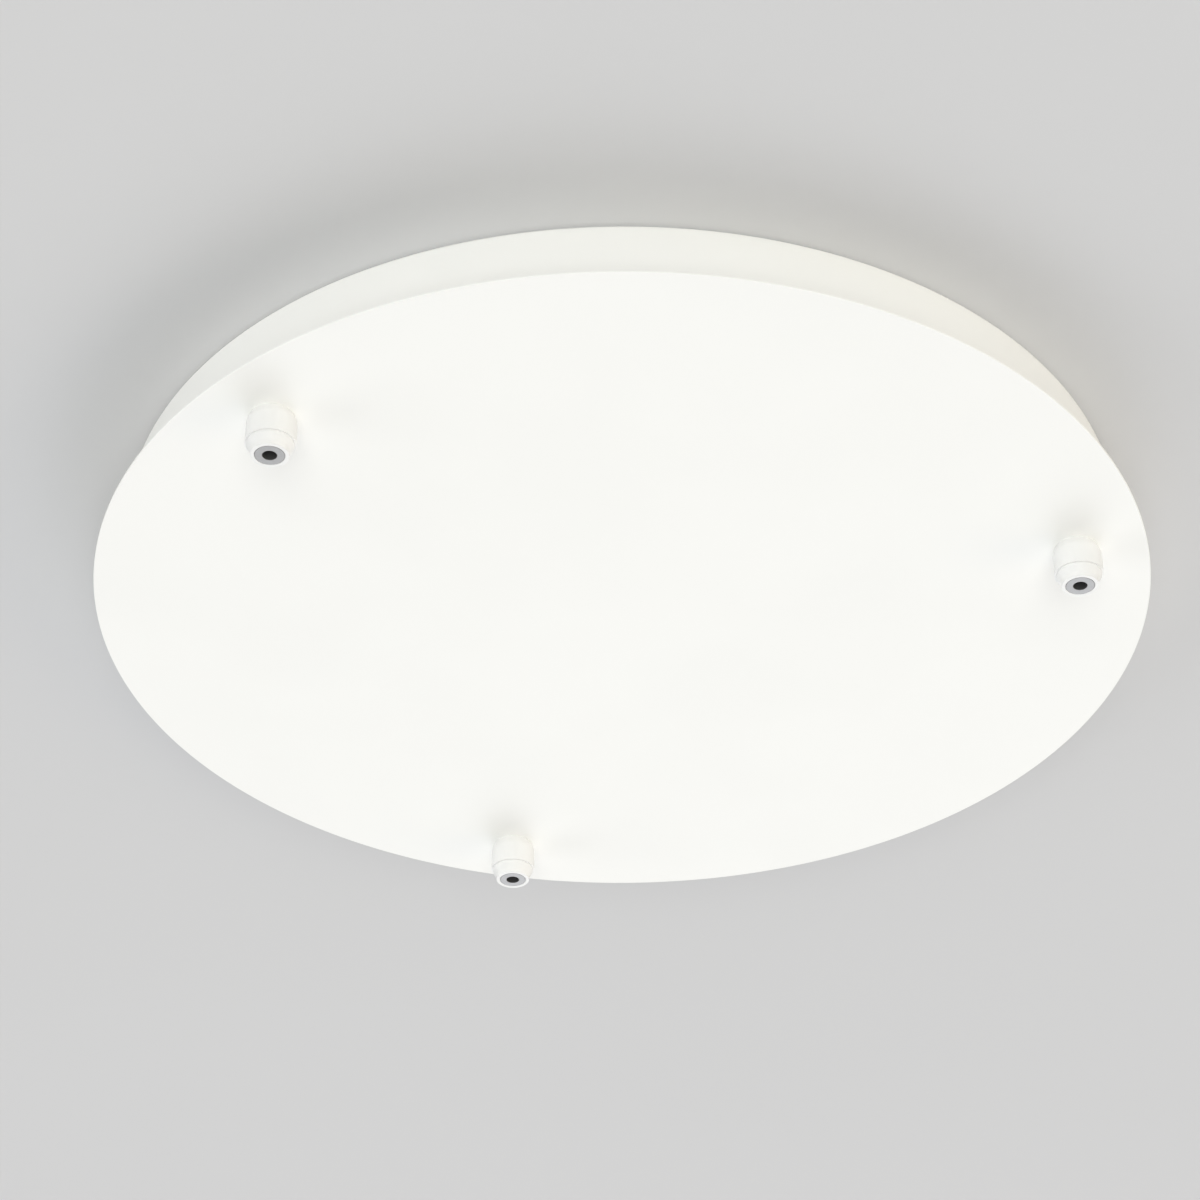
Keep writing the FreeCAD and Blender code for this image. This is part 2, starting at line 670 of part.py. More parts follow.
def grip_cap():
    """Cap: rounded nose outside, threaded skirt inside the body, flat ledge under the collet's flange."""
    outside = body_radius - CAP_STEP
    return turned([
        (cap_opening_radius, cap_ledge, 0.0), (skirt_bore_radius, cap_ledge, 0.0),
        (skirt_bore_radius, skirt_top, 0.0), (skirt_radius, skirt_top, CAP_EDGE_ROUND),
        (skirt_radius, cap_shoulder, 0.0), (outside, cap_shoulder, CAP_EDGE_ROUND),
        (outside, cap_shoulder - CAP_BAND, CAP_SHOULDER_ROUND),
        (cap_rim_radius + CAP_NECK_STEP, grip_end + CAP_NECK_FROM_END, CAP_NECK_ROUND),
        (cap_rim_radius, grip_end, CAP_EDGE_ROUND), (cap_opening_radius, grip_end, 0.0)])


def collet():
    """Sleeve round the cord: plain end in the cap's opening, flange, and slotted fingers in the taper."""
    tip = seat_top_radius + GRIP_SEAT_SLOPE * COLLET_TOP_GAP - COLLET_SEAT_GAP
    taper = (finger_radius - tip) / GRIP_SEAT_SLOPE
    sleeve = turned(plain([
        (cord_radius, grip_end), (collet_end_radius, grip_end), (collet_end_radius, flange_bottom),
        (flange_radius, flange_bottom), (flange_radius, flange_top), (finger_radius, flange_top),
        (finger_radius, collet_top - taper), (tip, collet_top), (cord_radius, collet_top)]))
    for k in range(COLLET_SLOTS):
        cutter = block((0, -COLLET_SLOT_WIDTH / 2, collet_top - COLLET_SLOT_LENGTH),
                       (flange_radius + 1, COLLET_SLOT_WIDTH / 2, collet_top + 1))
        sleeve = sleeve.cut(swung(cutter, 360.0 * k / COLLET_SLOTS))
    return sleeve


def grip_washer():
    """Flat washer on the cover's upper face."""
    bore_radius = GRIP_SHANK_THREAD / 2 + HOLE_CLEARANCE
    return ring(bore_radius, GRIP_WASHER_DIAMETER / 2, COVER_THICKNESS, washer_top)


def grip_locknut():
    """Thin hexagon nut on the shank."""
    bore_radius = GRIP_SHANK_THREAD / 2 + THREAD_CLEARANCE
    return hexagon(GRIP_NUT_FLATS, washer_top, nut_top, bore_radius, GRIP_NUT_CHAMFER)


def at_outlet(shape, angle):
    """Carries a grip piece from its own axis to one outlet."""
    return swung(moved(shape, outlet_radius, 0, cover_face), angle)


# The whole rose

def pieces():
    """Every piece by its node name."""
    found = {
        "base_pan": base_pan(),
        "inlet_grommet": inlet_grommet(),
        "terminal_bracket": terminal_bracket(),
        "terminal_block": terminal_block(),
        "terminal_screws": terminal_screws(),
        "block_screws": block_screws(),
        "block_nuts": block_nuts(),
        "pan_earth_stud": on_pan(earth_stud()),
        "pan_earth_washer": on_pan(earth_washer()),
        "pan_earth_nut": on_pan(earth_nut()),
        "cover_plate": cover_plate(),
        "cover_earth_stud": on_cover(earth_stud()),
        "cover_earth_washer": on_cover(earth_washer()),
        "cover_earth_nut": on_cover(earth_nut()),
        "magnet_screws": Part.makeCompound([swung(magnet_screw(), a) for a in magnet_angles]),
        "magnet_nuts": Part.makeCompound([swung(magnet_nut(), a) for a in magnet_angles]),
    }
    for k, y in enumerate(pole_places, 1):
        found[f"terminal_sleeve_{k}"] = terminal_sleeve(y)
    for k, angle in enumerate(magnet_angles, 1):
        found[f"magnet_bracket_{k}"] = swung(magnet_bracket(), angle)
        found[f"magnet_cup_{k}"] = swung(magnet_cup(), angle)
        found[f"magnet_ring_{k}"] = swung(magnet_ring(), angle)
    for k, angle in enumerate(lug_angles, 1):
        found[f"locating_lug_{k}"] = swung(locating_lug(), angle)
    makers = {
        "grip_body": grip_body, "grip_cap": grip_cap, "collet": collet,
        "grip_washer": grip_washer, "grip_locknut": grip_locknut}
    for name, make in makers.items():
        for k, angle in enumerate(outlet_angles, 1):
            found[f"{name}_{k}"] = at_outlet(make(), angle)
    return found


os.makedirs("parts", exist_ok=True)
for node, shape in pieces().items():
    shape.exportStep(f"parts/{node}.step")
    print(node, len(shape.Solids), round(shape.Volume, 2), shape.isValid())
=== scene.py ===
import json
import math

import bmesh
import bpy
from mathutils import Matrix, Vector

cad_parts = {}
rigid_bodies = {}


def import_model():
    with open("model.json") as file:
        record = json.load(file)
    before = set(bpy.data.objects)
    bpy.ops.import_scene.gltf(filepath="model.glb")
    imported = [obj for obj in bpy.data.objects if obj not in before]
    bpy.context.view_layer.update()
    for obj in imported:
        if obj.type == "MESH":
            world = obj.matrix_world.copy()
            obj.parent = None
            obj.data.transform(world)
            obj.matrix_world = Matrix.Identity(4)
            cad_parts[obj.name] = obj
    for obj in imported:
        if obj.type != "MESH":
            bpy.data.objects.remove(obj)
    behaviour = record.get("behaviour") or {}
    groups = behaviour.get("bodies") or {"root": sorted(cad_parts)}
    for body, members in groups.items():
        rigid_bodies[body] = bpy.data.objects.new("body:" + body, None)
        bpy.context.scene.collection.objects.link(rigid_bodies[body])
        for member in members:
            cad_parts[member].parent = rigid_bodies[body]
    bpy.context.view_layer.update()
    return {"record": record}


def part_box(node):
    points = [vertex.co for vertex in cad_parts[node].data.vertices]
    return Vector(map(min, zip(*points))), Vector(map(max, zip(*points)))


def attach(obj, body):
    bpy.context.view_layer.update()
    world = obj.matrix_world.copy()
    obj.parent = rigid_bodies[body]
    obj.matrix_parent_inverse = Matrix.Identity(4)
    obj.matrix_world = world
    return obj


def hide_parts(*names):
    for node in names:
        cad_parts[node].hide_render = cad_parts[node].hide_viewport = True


# A round white ceiling rose for three pendant cords, seen from below on its ceiling.
# Lengths are metres. +Z is up, and the ceiling is the plane z = 0.

MM = 0.001

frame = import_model()
mounts = {mount["name"]: mount for mount in frame["record"]["mounts"]}


# Sizes that the frame gives

pan_low, pan_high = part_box("base_pan")
cover_low, cover_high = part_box("cover_plate")
grip_low, grip_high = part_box("grip_body_1")
cap_low, cap_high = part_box("grip_cap_1")
collet_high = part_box("collet_1")[1]
bracket_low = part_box("magnet_bracket_1")[0]
cup_low, cup_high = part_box("magnet_cup_1")
ring_low, ring_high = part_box("magnet_ring_1")
hat_low, hat_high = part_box("terminal_bracket")

pan_radius = pan_high.x
cover_radius = cover_high.x
cover_face = cover_low.z
cover_top = cover_high.z
grip_radius = (grip_high.x - grip_low.x) / 2
cord_radius = mounts["cord_outlet_1"]["dims"]["r_mm"] * MM
outlets = [mounts[f"cord_outlet_{k}"]["pos_m"][:2] for k in (1, 2, 3)]

# Sizes of the sheet metal and its holes, and the clearances of nuts and washers

PAN_SHEET = 1.0 * MM
PAN_BEND = 1.1 * MM
PRESSED_BEND = 1.5 * MM
DISH_RADIUS = 28 * MM
DISH_DEPTH = 2.5 * MM
DISH_SLOPE = 4 * MM
BEAD_RADIUS = 100 * MM
BEAD_HALF_WIDTH = 4 * MM
BEAD_SLOPE = 3 * MM
BEAD_DEPTH = 2 * MM
INLET_HOLE_RADIUS = 7.95 * MM
PAINTED_EDGE = 0.12 * MM
PAINTED_EDGE_STEPS = 2
COVER_EDGE_ROUND = 0.3 * MM
OUTLET_HOLE_RADIUS = 5.2 * MM
NUT_CLEARANCE = 0.1 * MM
WASHER_CLEARANCE = 0.2 * MM

# Small roundings

FINE_ROUND = 0.1 * MM
OPENING_ROUND = 0.12 * MM
MOULD_ROUND = 0.15 * MM
EDGE_ROUND = 0.2 * MM
SOFT_ROUND = 0.3 * MM
DRAWN_ROUND = 0.8 * MM

# How finely curves are made, in steps a turn

ROUND_STEPS = 384
SMALL_ROUND_STEPS = 96
HEAD_STEPS = 48
THREAD_STEPS = 32
DIMPLE_STEPS = 32
WELD_MARK_STEPS = 24

# How finely corners are rounded: steps a corner, and degrees a step

SLOT_CORNER_STEPS = 10
FEWEST_CORNER_STEPS = 2
MOST_CORNER_STEPS = 8
CORNER_STEP_DEGREES = 15

# Threads: their flat crests as a share of the pitch, turns to cut off, and the ledge at their foot

CREST_SHARE = 0.125
SPARE_TURNS = 2
JOIN_STEP = 0.05 * MM

# How close two points count as one, and which edges stay sharp or count as folded

SAME_POINT = 1e-7
SMOOTH_ANGLE = math.radians(32)
FOLD_ANGLE = math.radians(60)


# Modelling

def alone(piece=None):
    """Selects one piece and nothing else."""
    bpy.ops.object.select_all(action="DESELECT")
    if piece is not None:
        piece.select_set(True)
        bpy.context.view_layer.objects.active = piece
    return piece


def named(piece, name):
    """Gives a piece and its mesh one name."""
    piece.name = name
    piece.data.name = name
    return piece


def edit(piece):
    """Opens a piece in edit mode, set to select points, with nothing selected."""
    alone(piece)
    bpy.ops.object.mode_set(mode="EDIT")
    bpy.ops.mesh.select_mode(type="VERT")
    bpy.ops.mesh.select_all(action="DESELECT")


def close_edit():
    """Back to object mode."""
    bpy.ops.object.mode_set(mode="OBJECT")


def pick(piece, kind, wanted):
    """In edit mode, selects only the verts, edges or faces that pass a test."""
    bpy.ops.mesh.select_all(action="DESELECT")
    bpy.ops.mesh.select_mode(type=kind[:-1].upper())
    mesh = bmesh.from_edit_mesh(piece.data)
    for item in getattr(mesh, kind):
        if wanted(item):
            item.select_set(True)
    bmesh.update_edit_mesh(piece.data)


def polyline(name, points):
    """A wire through points that start with (radius, height), in the XZ plane, left in edit mode."""
    alone()
    bpy.ops.mesh.primitive_plane_add(size=MM)
    piece = named(bpy.context.active_object, name)
    edit(piece)
    bpy.ops.mesh.select_all(action="SELECT")
    bpy.ops.mesh.merge(type="CENTER")
    bpy.ops.transform.translate(value=(points[0][0], 0, points[0][1]))
    for a, b in zip(points, points[1:]):
        step = (b[0] - a[0], 0, b[1] - a[1])
        bpy.ops.mesh.extrude_region_move(TRANSFORM_OT_translate={"value": step})
    return piece


def same_place(vert, point):
    """Whether a vertex lies on a point of an outline."""
    return (vert.co - Vector((point[0], 0, point[1]))).length < SAME_POINT


def round_corners(piece, points, closed):
    """Rounds the corners of an outline that ask for it, each by its own radius."""
    count = len(points)
    for k, (u, v, rounding) in enumerate(points):
        if rounding <= 0 or (not closed and k in (0, count - 1)):
            continue
        here = Vector((u, v))
        back = Vector(points[k - 1][:2]) - here
        ahead = Vector(points[(k + 1) % count][:2]) - here
        corner = back.angle(ahead)
        reach = rounding / math.tan(corner / 2)
        steps = round(math.degrees(math.pi - corner) / CORNER_STEP_DEGREES)
        steps = max(FEWEST_CORNER_STEPS, min(MOST_CORNER_STEPS, steps))
        pick(piece, "verts", lambda vert: same_place(vert, (u, v)))
        bpy.ops.mesh.bevel(offset_type="OFFSET", offset=reach, segments=steps, profile=0.5,
                           affect="VERTICES")


def tidy_faces():
    """In edit mode, merges doubles and turns every face outwards."""
    bpy.ops.mesh.select_all(action="SELECT")
    bpy.ops.mesh.remove_doubles(threshold=SAME_POINT)
    bpy.ops.mesh.normals_make_consistent(inside=False)


def smooth(piece):
    """Smooth shading that keeps the sharp edges."""
    alone(piece)
    bpy.ops.object.shade_smooth_by_angle(angle=SMOOTH_ANGLE)
    return piece


def turned(name, points, closed=True, steps=SMALL_ROUND_STEPS):
    """A body turned about the Z axis from an outline of (radius, height, rounding)."""
    piece = polyline(name, points)
    if closed:
        ends = (points[0], points[-1])
        pick(piece, "verts", lambda vert: any(same_place(vert, end) for end in ends))
        bpy.ops.mesh.edge_face_add()
    round_corners(piece, points, closed)
    bpy.ops.mesh.select_all(action="SELECT")
    bpy.ops.mesh.spin(steps=steps, angle=2 * math.pi, center=(0, 0, 0), axis=(0, 0, 1),
                      use_auto_merge=True)
    tidy_faces()
    close_edit()
    return smooth(piece)


def sharp(pairs):
    """The same points of an outline, none of them rounded."""
    return [(u, v, 0.0) for u, v in pairs]


def thread(name, radius, pitch, depth, low, high, low_filled=False, high_filled=False):
    """The helical surface of a thread about the Z axis, cut flat at both ends, which may be filled."""
    root = radius - depth
    crest = pitch * CREST_SHARE
    start = low - SPARE_TURNS * pitch
    middle = start + pitch / 2
    piece = polyline(name, sharp([
        (root, start),
        (radius, middle - crest / 2),
        (radius, middle + crest / 2),
        (root, start + pitch),
    ]))
    close_edit()
    screw = piece.modifiers.new("turns", "SCREW")
    screw.axis = "Z"
    screw.angle = 2 * math.pi
    screw.screw_offset = pitch
    screw.iterations = math.ceil((high - low) / pitch) + 2 * SPARE_TURNS
    screw.steps = THREAD_STEPS
    screw.render_steps = THREAD_STEPS
    alone(piece)
    bpy.ops.object.modifier_apply(modifier=screw.name)
    edit(piece)
    for level, inner, filled in ((low, True, low_filled), (high, False, high_filled)):
        bpy.ops.mesh.select_all(action="SELECT")
        bpy.ops.mesh.remove_doubles(threshold=SAME_POINT)
        bpy.ops.mesh.bisect(plane_co=(0, 0, level), plane_no=(0, 0, 1), use_fill=filled,
                            clear_inner=inner, clear_outer=not inner, threshold=SAME_POINT)
    tidy_faces()
    close_edit()
    return piece


def joined(pieces, name):
    """Several pieces made one."""
    alone(pieces[0])
    for piece in pieces[1:]:
        piece.select_set(True)
    if len(pieces) > 1:
        bpy.ops.object.join()
    return named(pieces[0], name)


def bridged(piece, *levels):
    """Joins the two open rims that lie at each level with a ring of faces."""
    edit(piece)
    for level in levels:
        pick(piece, "edges", lambda edge: len(edge.link_faces) == 1
             and all(abs(vert.co.z - level) < SAME_POINT for vert in edge.verts))
        bpy.ops.mesh.bridge_edge_loops()
    tidy_faces()
    close_edit()
    return smooth(piece)


def cut(piece, cutter, operation="DIFFERENCE"):
    """Cuts one piece by another, which is then gone."""
    carve = piece.modifiers.new("carve", "BOOLEAN")
    carve.operation = operation
    carve.object = cutter
    carve.solver = "EXACT"
    alone(piece)
    bpy.ops.object.modifier_apply(modifier=carve.name)
    bpy.data.objects.remove(cutter)
    return smooth(piece)


def settled(piece, x=0.0, y=0.0, z=0.0, turn=0.0, tip=0.0):
    """Tips a piece about X, turns it about Z and moves it, with its object left at the origin."""
    piece.rotation_euler = (math.radians(tip), 0, math.radians(turn))
    piece.location = (x, y, z)
    alone(piece)
    bpy.ops.object.transform_apply(location=True, rotation=True, scale=True)
    return piece


def swung(piece, angle):
    """Turns a piece about the axis of the rose."""
    return settled(piece, turn=angle)


def another(piece, name):
    """A copy with a mesh of its own."""
    alone(piece)
    bpy.ops.object.duplicate()
    return named(bpy.context.active_object, name)


def rod(name, radius, low, high, x=0.0, y=0.0, steps=SMALL_ROUND_STEPS):
    """An upright cylinder used as a cutter."""
    alone()
    bpy.ops.mesh.primitive_cylinder_add(vertices=steps, radius=radius, depth=high - low,
                                        location=(x, y, (low + high) / 2))
    piece = named(bpy.context.active_object, name)
    return settled(piece, *piece.location)


def bar(name, low, high):
    """A bar between two corners, used as a cutter or a stroke of a sign."""
    alone()
    middle = [(a + b) / 2 for a, b in zip(low, high)]
    bpy.ops.mesh.primitive_cube_add(size=1, location=middle, scale=[b - a for a, b in zip(low, high)])
    piece = named(bpy.context.active_object, name)
    return settled(piece, *piece.location)


def dress(piece, body, slot, nodes=()):
    """Finishes a piece: what it rides on, its finish, and the nodes that it stands for."""
    flats = piece.modifiers.new("flat_faces_stay_flat", "WEIGHTED_NORMAL")
    flats.keep_sharp = True
    piece.data.materials.clear()
    piece.data.materials.append(finishes[slot])
    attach(piece, body)
    if nodes:
        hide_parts(*nodes)
    return piece


# Finishes: node trees written as expressions

class Wire:
    """A shader socket in an expression. Each operator used on it adds one Math node."""

    def __init__(self, finish, socket):
        self.finish = finish
        self.socket = socket

    def with_math(self, operation, *values):
        """The result of one Math node."""
        return self.finish.node("ShaderNodeMath", {"operation": operation}, dict(enumerate(values)))

    def __add__(self, other):
        return self.with_math("ADD", self, other)

    def __radd__(self, other):
        return self.with_math("ADD", other, self)

    def __sub__(self, other):
        return self.with_math("SUBTRACT", self, other)

    def __rsub__(self, other):
        return self.with_math("SUBTRACT", other, self)

    def __mul__(self, other):
        return self.with_math("MULTIPLY", self, other)

    def __rmul__(self, other):
        return self.with_math("MULTIPLY", other, self)

    def __pow__(self, other):
        return self.with_math("POWER", self, other)

    def __lt__(self, other):
        return self.with_math("LESS_THAN", self, other)


class Finish:
    """One material: its Principled shader and the nodes that vary it."""

    def __init__(self, name, roughness, metallic=0.0, **constants):
        self.material = bpy.data.materials.new(name)
        self.material.use_nodes = True
        self.tree = self.material.node_tree
        self.shader = self.tree.nodes["Principled BSDF"]
        self.shader.inputs["Roughness"].default_value = roughness
        self.shader.inputs["Metallic"].default_value = metallic
        for socket, value in constants.items():
            self.shader.inputs[socket.replace("_", " ")].default_value = value

    def node(self, kind, settings=None, inputs=None, output=0):
        """Adds a node: its settings, then the values or wires of its sockets."""
        made = self.tree.nodes.new(kind)
        for name, value in (settings or {}).items():
            if name == "stops":
                for element, (place, colour) in zip(made.color_ramp.elements, value):
                    element.position = place
                    element.color = (*colour, 1)
            else:
                setattr(made, name, value)
        for name, value in (inputs or {}).items():
            if isinstance(value, Wire):
                self.tree.links.new(value.socket, made.inputs[name])
            else:
                made.inputs[name].default_value = value
        return Wire(self, made.outputs[output])

    def set(self, **sockets):
        """Links wires to the shader's sockets."""
        for name, wire in sockets.items():
            self.tree.links.new(wire.socket, self.shader.inputs[name.replace("_", " ")])

    def place(self, stretch=(1, 1, 1)):
        """Object coordinates, stretched to draw a pattern out."""
        where = self.node("ShaderNodeTexCoord", output="Object")
        if stretch == (1, 1, 1):
            return where
        return self.node("ShaderNodeMapping", {"vector_type": "POINT"},
                         {"Vector": where, "Scale": stretch})

    def distance(self, centre):
        """How far a point is from an upright axis."""
        place = self.place()
        x = self.node("ShaderNodeSeparateXYZ", None, {0: place}, output=0)
        y = self.node("ShaderNodeSeparateXYZ", None, {0: place}, output=1)
        return ((x - centre[0]) ** 2.0 + (y - centre[1]) ** 2.0) ** 0.5

    def noise(self, wavelength, detail, stretch=(1, 1, 1), roughness=0.5):
        """Soft noise whose patches are about one wavelength across."""
        return self.node("ShaderNodeTexNoise", {"noise_dimensions": "3D"}, {
            "Vector": self.place(stretch), "Scale": 1 / wavelength,
            "Detail": detail, "Roughness": roughness})

    def cells(self, wavelength):
        """Rounded cells about one wavelength across, as distances from their middles."""
        return self.node("ShaderNodeTexVoronoi", {"feature": "SMOOTH_F1"}, {
            "Vector": self.place(), "Scale": 1 / wavelength, "Smoothness": 1.0})

    def ramp(self, wire, low, high, low_place, high_place):
        """A colour that goes from low to high between two places of a wire's range."""
        return self.node("ShaderNodeValToRGB", {"stops": [(low_place, low), (high_place, high)]},
                         {"Fac": wire})

    def mixed(self, share, first, second):
        """A mix of two colours, which this node takes at its sockets 6 and 7."""
        return self.node("ShaderNodeMix", {"data_type": "RGBA"}, {0: share, 6: first, 7: second},
                         output=2)

    def bump(self, height, depth):
        """Relief of a given depth on the shader's normal."""
        relief = self.node("ShaderNodeBump", None,
                           {"Height": height, "Distance": depth, "Strength": 1.0})
        self.set(Normal=relief)


def powder_coat(name, colour, shade):
    """Fine satin powder coat: a soft orange peel, and a tone that wanders very slightly."""
    coat = Finish(name, roughness=0.58, Specular_IOR_Level=0.12)
    cloud = coat.noise(60 * MM, detail=1.0)
    sheen = coat.noise(9 * MM, detail=3.0)
    grain = coat.noise(0.35 * MM, detail=2.0)
    coat.set(Base_Color=coat.ramp(cloud, shade, colour, low_place=0.3, high_place=0.6))
    coat.set(Roughness=0.54 + 0.08 * sheen)
    coat.bump(coat.cells(1.1 * MM) + 0.35 * grain, depth=0.012 * MM)
    return coat.material


def moulded(name, colour, shade, roughness, grain_depth=0.004 * MM):
    """Injection-moulded plastic with a faint tool texture."""
    plastic = Finish(name, roughness, Specular_IOR_Level=0.25)
    cloud = plastic.noise(5 * MM, detail=2.0)
    sheen = plastic.noise(1.3 * MM, detail=3.0)
    plastic.set(Base_Color=plastic.ramp(cloud, shade, colour, low_place=0.3, high_place=0.65))
    plastic.set(Roughness=roughness - 0.05 + 0.1 * sheen)
    plastic.bump(plastic.noise(0.22 * MM, detail=3.0), grain_depth)
    return plastic.material


def collet_grey(name, colour, shade, dark, centres, bore_shade_radius):
    """Grey moulded nylon, with the bores round the cords painted near black: painted shade for the dark
    inside the cord holes.
    """
    grey = Finish(name, roughness=0.34, Specular_IOR_Level=0.8)
    # Painted shade: this mask marks the cord bores, which are painted near black in place of the shade
    # inside the holes.
    inside = None
    for centre in centres:
        here = grey.distance(centre) < bore_shade_radius
        inside = here if inside is None else inside + here
    cloud = grey.noise(1.5 * MM, detail=2.0)
    sheen = grey.noise(0.8 * MM, detail=3.0)
    tone = grey.ramp(cloud, shade, colour, low_place=0.3, high_place=0.65)
    # The near-black painted shade of the bores is mixed over the nylon's own tone.
    grey.set(Base_Color=grey.mixed(inside, tone, (*dark, 1)))
    grey.set(Roughness=0.3 + 0.1 * sheen)
    grey.bump(grey.noise(0.2 * MM, detail=3.0), depth=0.004 * MM)
    return grey.material


def plated_steel(name, colour, shade, roughness, patch, streak=(1, 1, 1)):
    """Plated steel or plain brass: a cloudy skin with fine streaks."""
    steel = Finish(name, roughness, metallic=1.0)
    cloud = steel.noise(patch, detail=4.0, roughness=0.6)
    streaks = steel.noise(0.5 * MM, detail=3.0, stretch=streak)
    steel.set(Base_Color=steel.ramp(cloud, shade, colour, low_place=0.35, high_place=0.65))
    steel.set(Roughness=roughness - 0.08 + 0.1 * cloud + 0.08 * streaks)
    steel.bump(streaks, depth=0.006 * MM)
    return steel.material


def sintered(name, colour, shade):
    """Plated magnet: a dark grainy metal."""
    magnet = Finish(name, roughness=0.42, metallic=0.8)
    speck = magnet.noise(0.4 * MM, detail=4.0, roughness=0.7)
    magnet.set(Base_Color=magnet.ramp(speck, shade, colour, low_place=0.4, high_place=0.6))
    magnet.set(Roughness=0.32 + 0.25 * speck)
    magnet.bump(speck, depth=0.01 * MM)
    return magnet.material


def rubber(name, colour, bloom_colour):
    """Moulded rubber with a dusty bloom."""
    black = Finish(name, roughness=0.72, Specular_IOR_Level=0.3)
    bloom = black.noise(2.5 * MM, detail=4.0, roughness=0.65)
    black.set(Base_Color=black.ramp(bloom, colour, bloom_colour, low_place=0.4, high_place=0.75))
    black.set(Roughness=0.62 + 0.2 * bloom)
    black.bump(black.noise(0.15 * MM, detail=3.0), depth=0.01 * MM)
    return black.material


def plaster(name, colour, shade, hidden_radius, fade_start, fade_end):
    """Painted ceiling that fades into the backdrop.

    A camera above it sees through it, and light from above reaches what it hides.
    """
    paint = Finish(name, roughness=0.9, Specular_IOR_Level=0.1)
    cloud = paint.noise(0.5, detail=3.0)
    paint.set(Base_Color=paint.ramp(cloud, shade, colour, low_place=0.35, high_place=0.65))
    paint.bump(paint.noise(2.2 * MM, detail=4.0), depth=0.02 * MM)
    back = paint.node("ShaderNodeNewGeometry", output="Backfacing")
    camera_ray = paint.node("ShaderNodeLightPath", output="Is Camera Ray")
    radius = paint.distance((0, 0))
    hidden = radius < hidden_radius
    faded = paint.node("ShaderNodeMapRange", {"interpolation_type": "SMOOTHSTEP"}, {
        "Value": radius, "From Min": fade_start, "From Max": fade_end})
    unseen = back + (1 - back) * faded
    clearness = unseen * camera_ray + hidden * (1 - camera_ray)
    painted = Wire(paint, paint.shader.outputs[0])
    clear = paint.node("ShaderNodeBsdfTransparent")
    surface = paint.node("ShaderNodeMixShader", None, {0: clearness, 1: painted, 2: clear})
    paint.tree.links.new(surface.socket, paint.tree.nodes["Material Output"].inputs["Surface"])
    return paint.material


# How far past the cord the painted shade in the collet bores reaches.
BORE_SHADE_MARGIN = 0.06 * MM

finishes = {
    "white_paint": powder_coat(
        "white_powder_coat", colour=(0.925, 0.925, 0.900), shade=(0.915, 0.915, 0.890)),
    "white_nylon": moulded(
        "white_nylon", colour=(0.853, 0.853, 0.843), shade=(0.845, 0.845, 0.835), roughness=0.42),
    # The collet's grey nylon, with painted shade in its cord bores.
    "grey_nylon": collet_grey(
        "collet_grey", colour=(0.305, 0.305, 0.31), shade=(0.28, 0.28, 0.285),
        dark=(0.066, 0.065, 0.065), centres=outlets, bore_shade_radius=cord_radius + BORE_SHADE_MARGIN),
    "zinc_steel": plated_steel(
        "zinc_plate", colour=(0.70, 0.71, 0.72), shade=(0.58, 0.60, 0.61),
        roughness=0.38, patch=4 * MM, streak=(1, 0.06, 1)),
    "nickel_cup": plated_steel(
        "nickel_plate", colour=(0.76, 0.74, 0.70), shade=(0.68, 0.66, 0.62),
        roughness=0.24, patch=6 * MM),
    "dark_ferrite": sintered(
        "magnet_skin", colour=(0.30, 0.30, 0.31), shade=(0.16, 0.16, 0.17)),
    "block_plastic": moulded(
        "terminal_nylon", colour=(0.80, 0.79, 0.72), shade=(0.76, 0.75, 0.68),
        roughness=0.4, grain_depth=0.008 * MM),
    "brass": plated_steel(
        "turned_brass", colour=(0.80, 0.60, 0.28), shade=(0.66, 0.47, 0.20),
        roughness=0.34, patch=2 * MM, streak=(0.06, 1, 1)),
    "rubber": rubber(
        "black_rubber", colour=(0.018, 0.018, 0.018), bloom_colour=(0.05, 0.05, 0.05)),
}


# Ceiling pan and cover

MAGNET_ANGLES = [60.0 * k for k in range(6)]
BRACKET_SHEET = 1.5 * MM
HAT_SHEET = 1.0 * MM
LUG_SHEET = 1.0 * MM
LUG_ANGLES = (90.0, 210.0, 330.0)
BRACKET_WELD_INSET = 8 * MM
BRACKET_WELD_SIDE = 6 * MM
HAT_WELD_INSET = 4.2 * MM
HAT_WELD_SIDE = 4 * MM
LUG_WELD_INSET = 9 * MM
LUG_WELD_SIDE = 3.5 * MM
WELD_RADIUS = 2.4 * MM
WELD_DEPTH = 0.12 * MM
DIMPLE_FLOOR_SHARE = 0.72
WELD_FLAT_RADIUS = 1.5 * MM
WELD_FLAT_HEIGHT = 0.02 * MM
WELD_CREST_RADIUS = 2.0 * MM
WELD_CREST_HEIGHT = 0.12 * MM
WELD_SUNK = 0.05 * MM
EARTH_X = 42 * MM
EARTH_Y = 40 * MM
EARTH_SIGN_STEP = 10 * MM
SIGN_STROKE = 0.5 * MM
SIGN_STEM = 2.6 * MM
SIGN_BAR_PITCH = 1.1 * MM
SIGN_BAR_HALVES = (2.4 * MM, 1.6 * MM, 0.8 * MM)
STAMP_DEPTH = 0.15 * MM


def about_axis(x, y, angle):
    """A point turned about the axis of the rose."""
    place = Vector((x, y))
    place.rotate(Matrix.Rotation(math.radians(angle), 2))
    return place.x, place.y


def bracket_welds():
    """Where the feet of the magnet brackets are spot-welded."""
    foot = bracket_low.x + BRACKET_WELD_INSET
    return [about_axis(foot, side, angle)
            for angle in MAGNET_ANGLES for side in (-BRACKET_WELD_SIDE, BRACKET_WELD_SIDE)]


def hat_welds():
    """Where the feet of the terminal block's bracket are spot-welded."""
    middle = (hat_low.x + hat_high.x) / 2
    reach = hat_high.y - HAT_WELD_INSET
    return [(middle + x, y) for x in (-HAT_WELD_SIDE, HAT_WELD_SIDE) for y in (-reach, reach)]


def lug_welds():
    """Where the feet of the locating lugs are spot-welded."""
    foot = pan_radius - PAN_SHEET - LUG_WELD_INSET
    return [about_axis(foot, side, angle)
            for angle in LUG_ANGLES for side in (-LUG_WELD_SIDE, LUG_WELD_SIDE)]


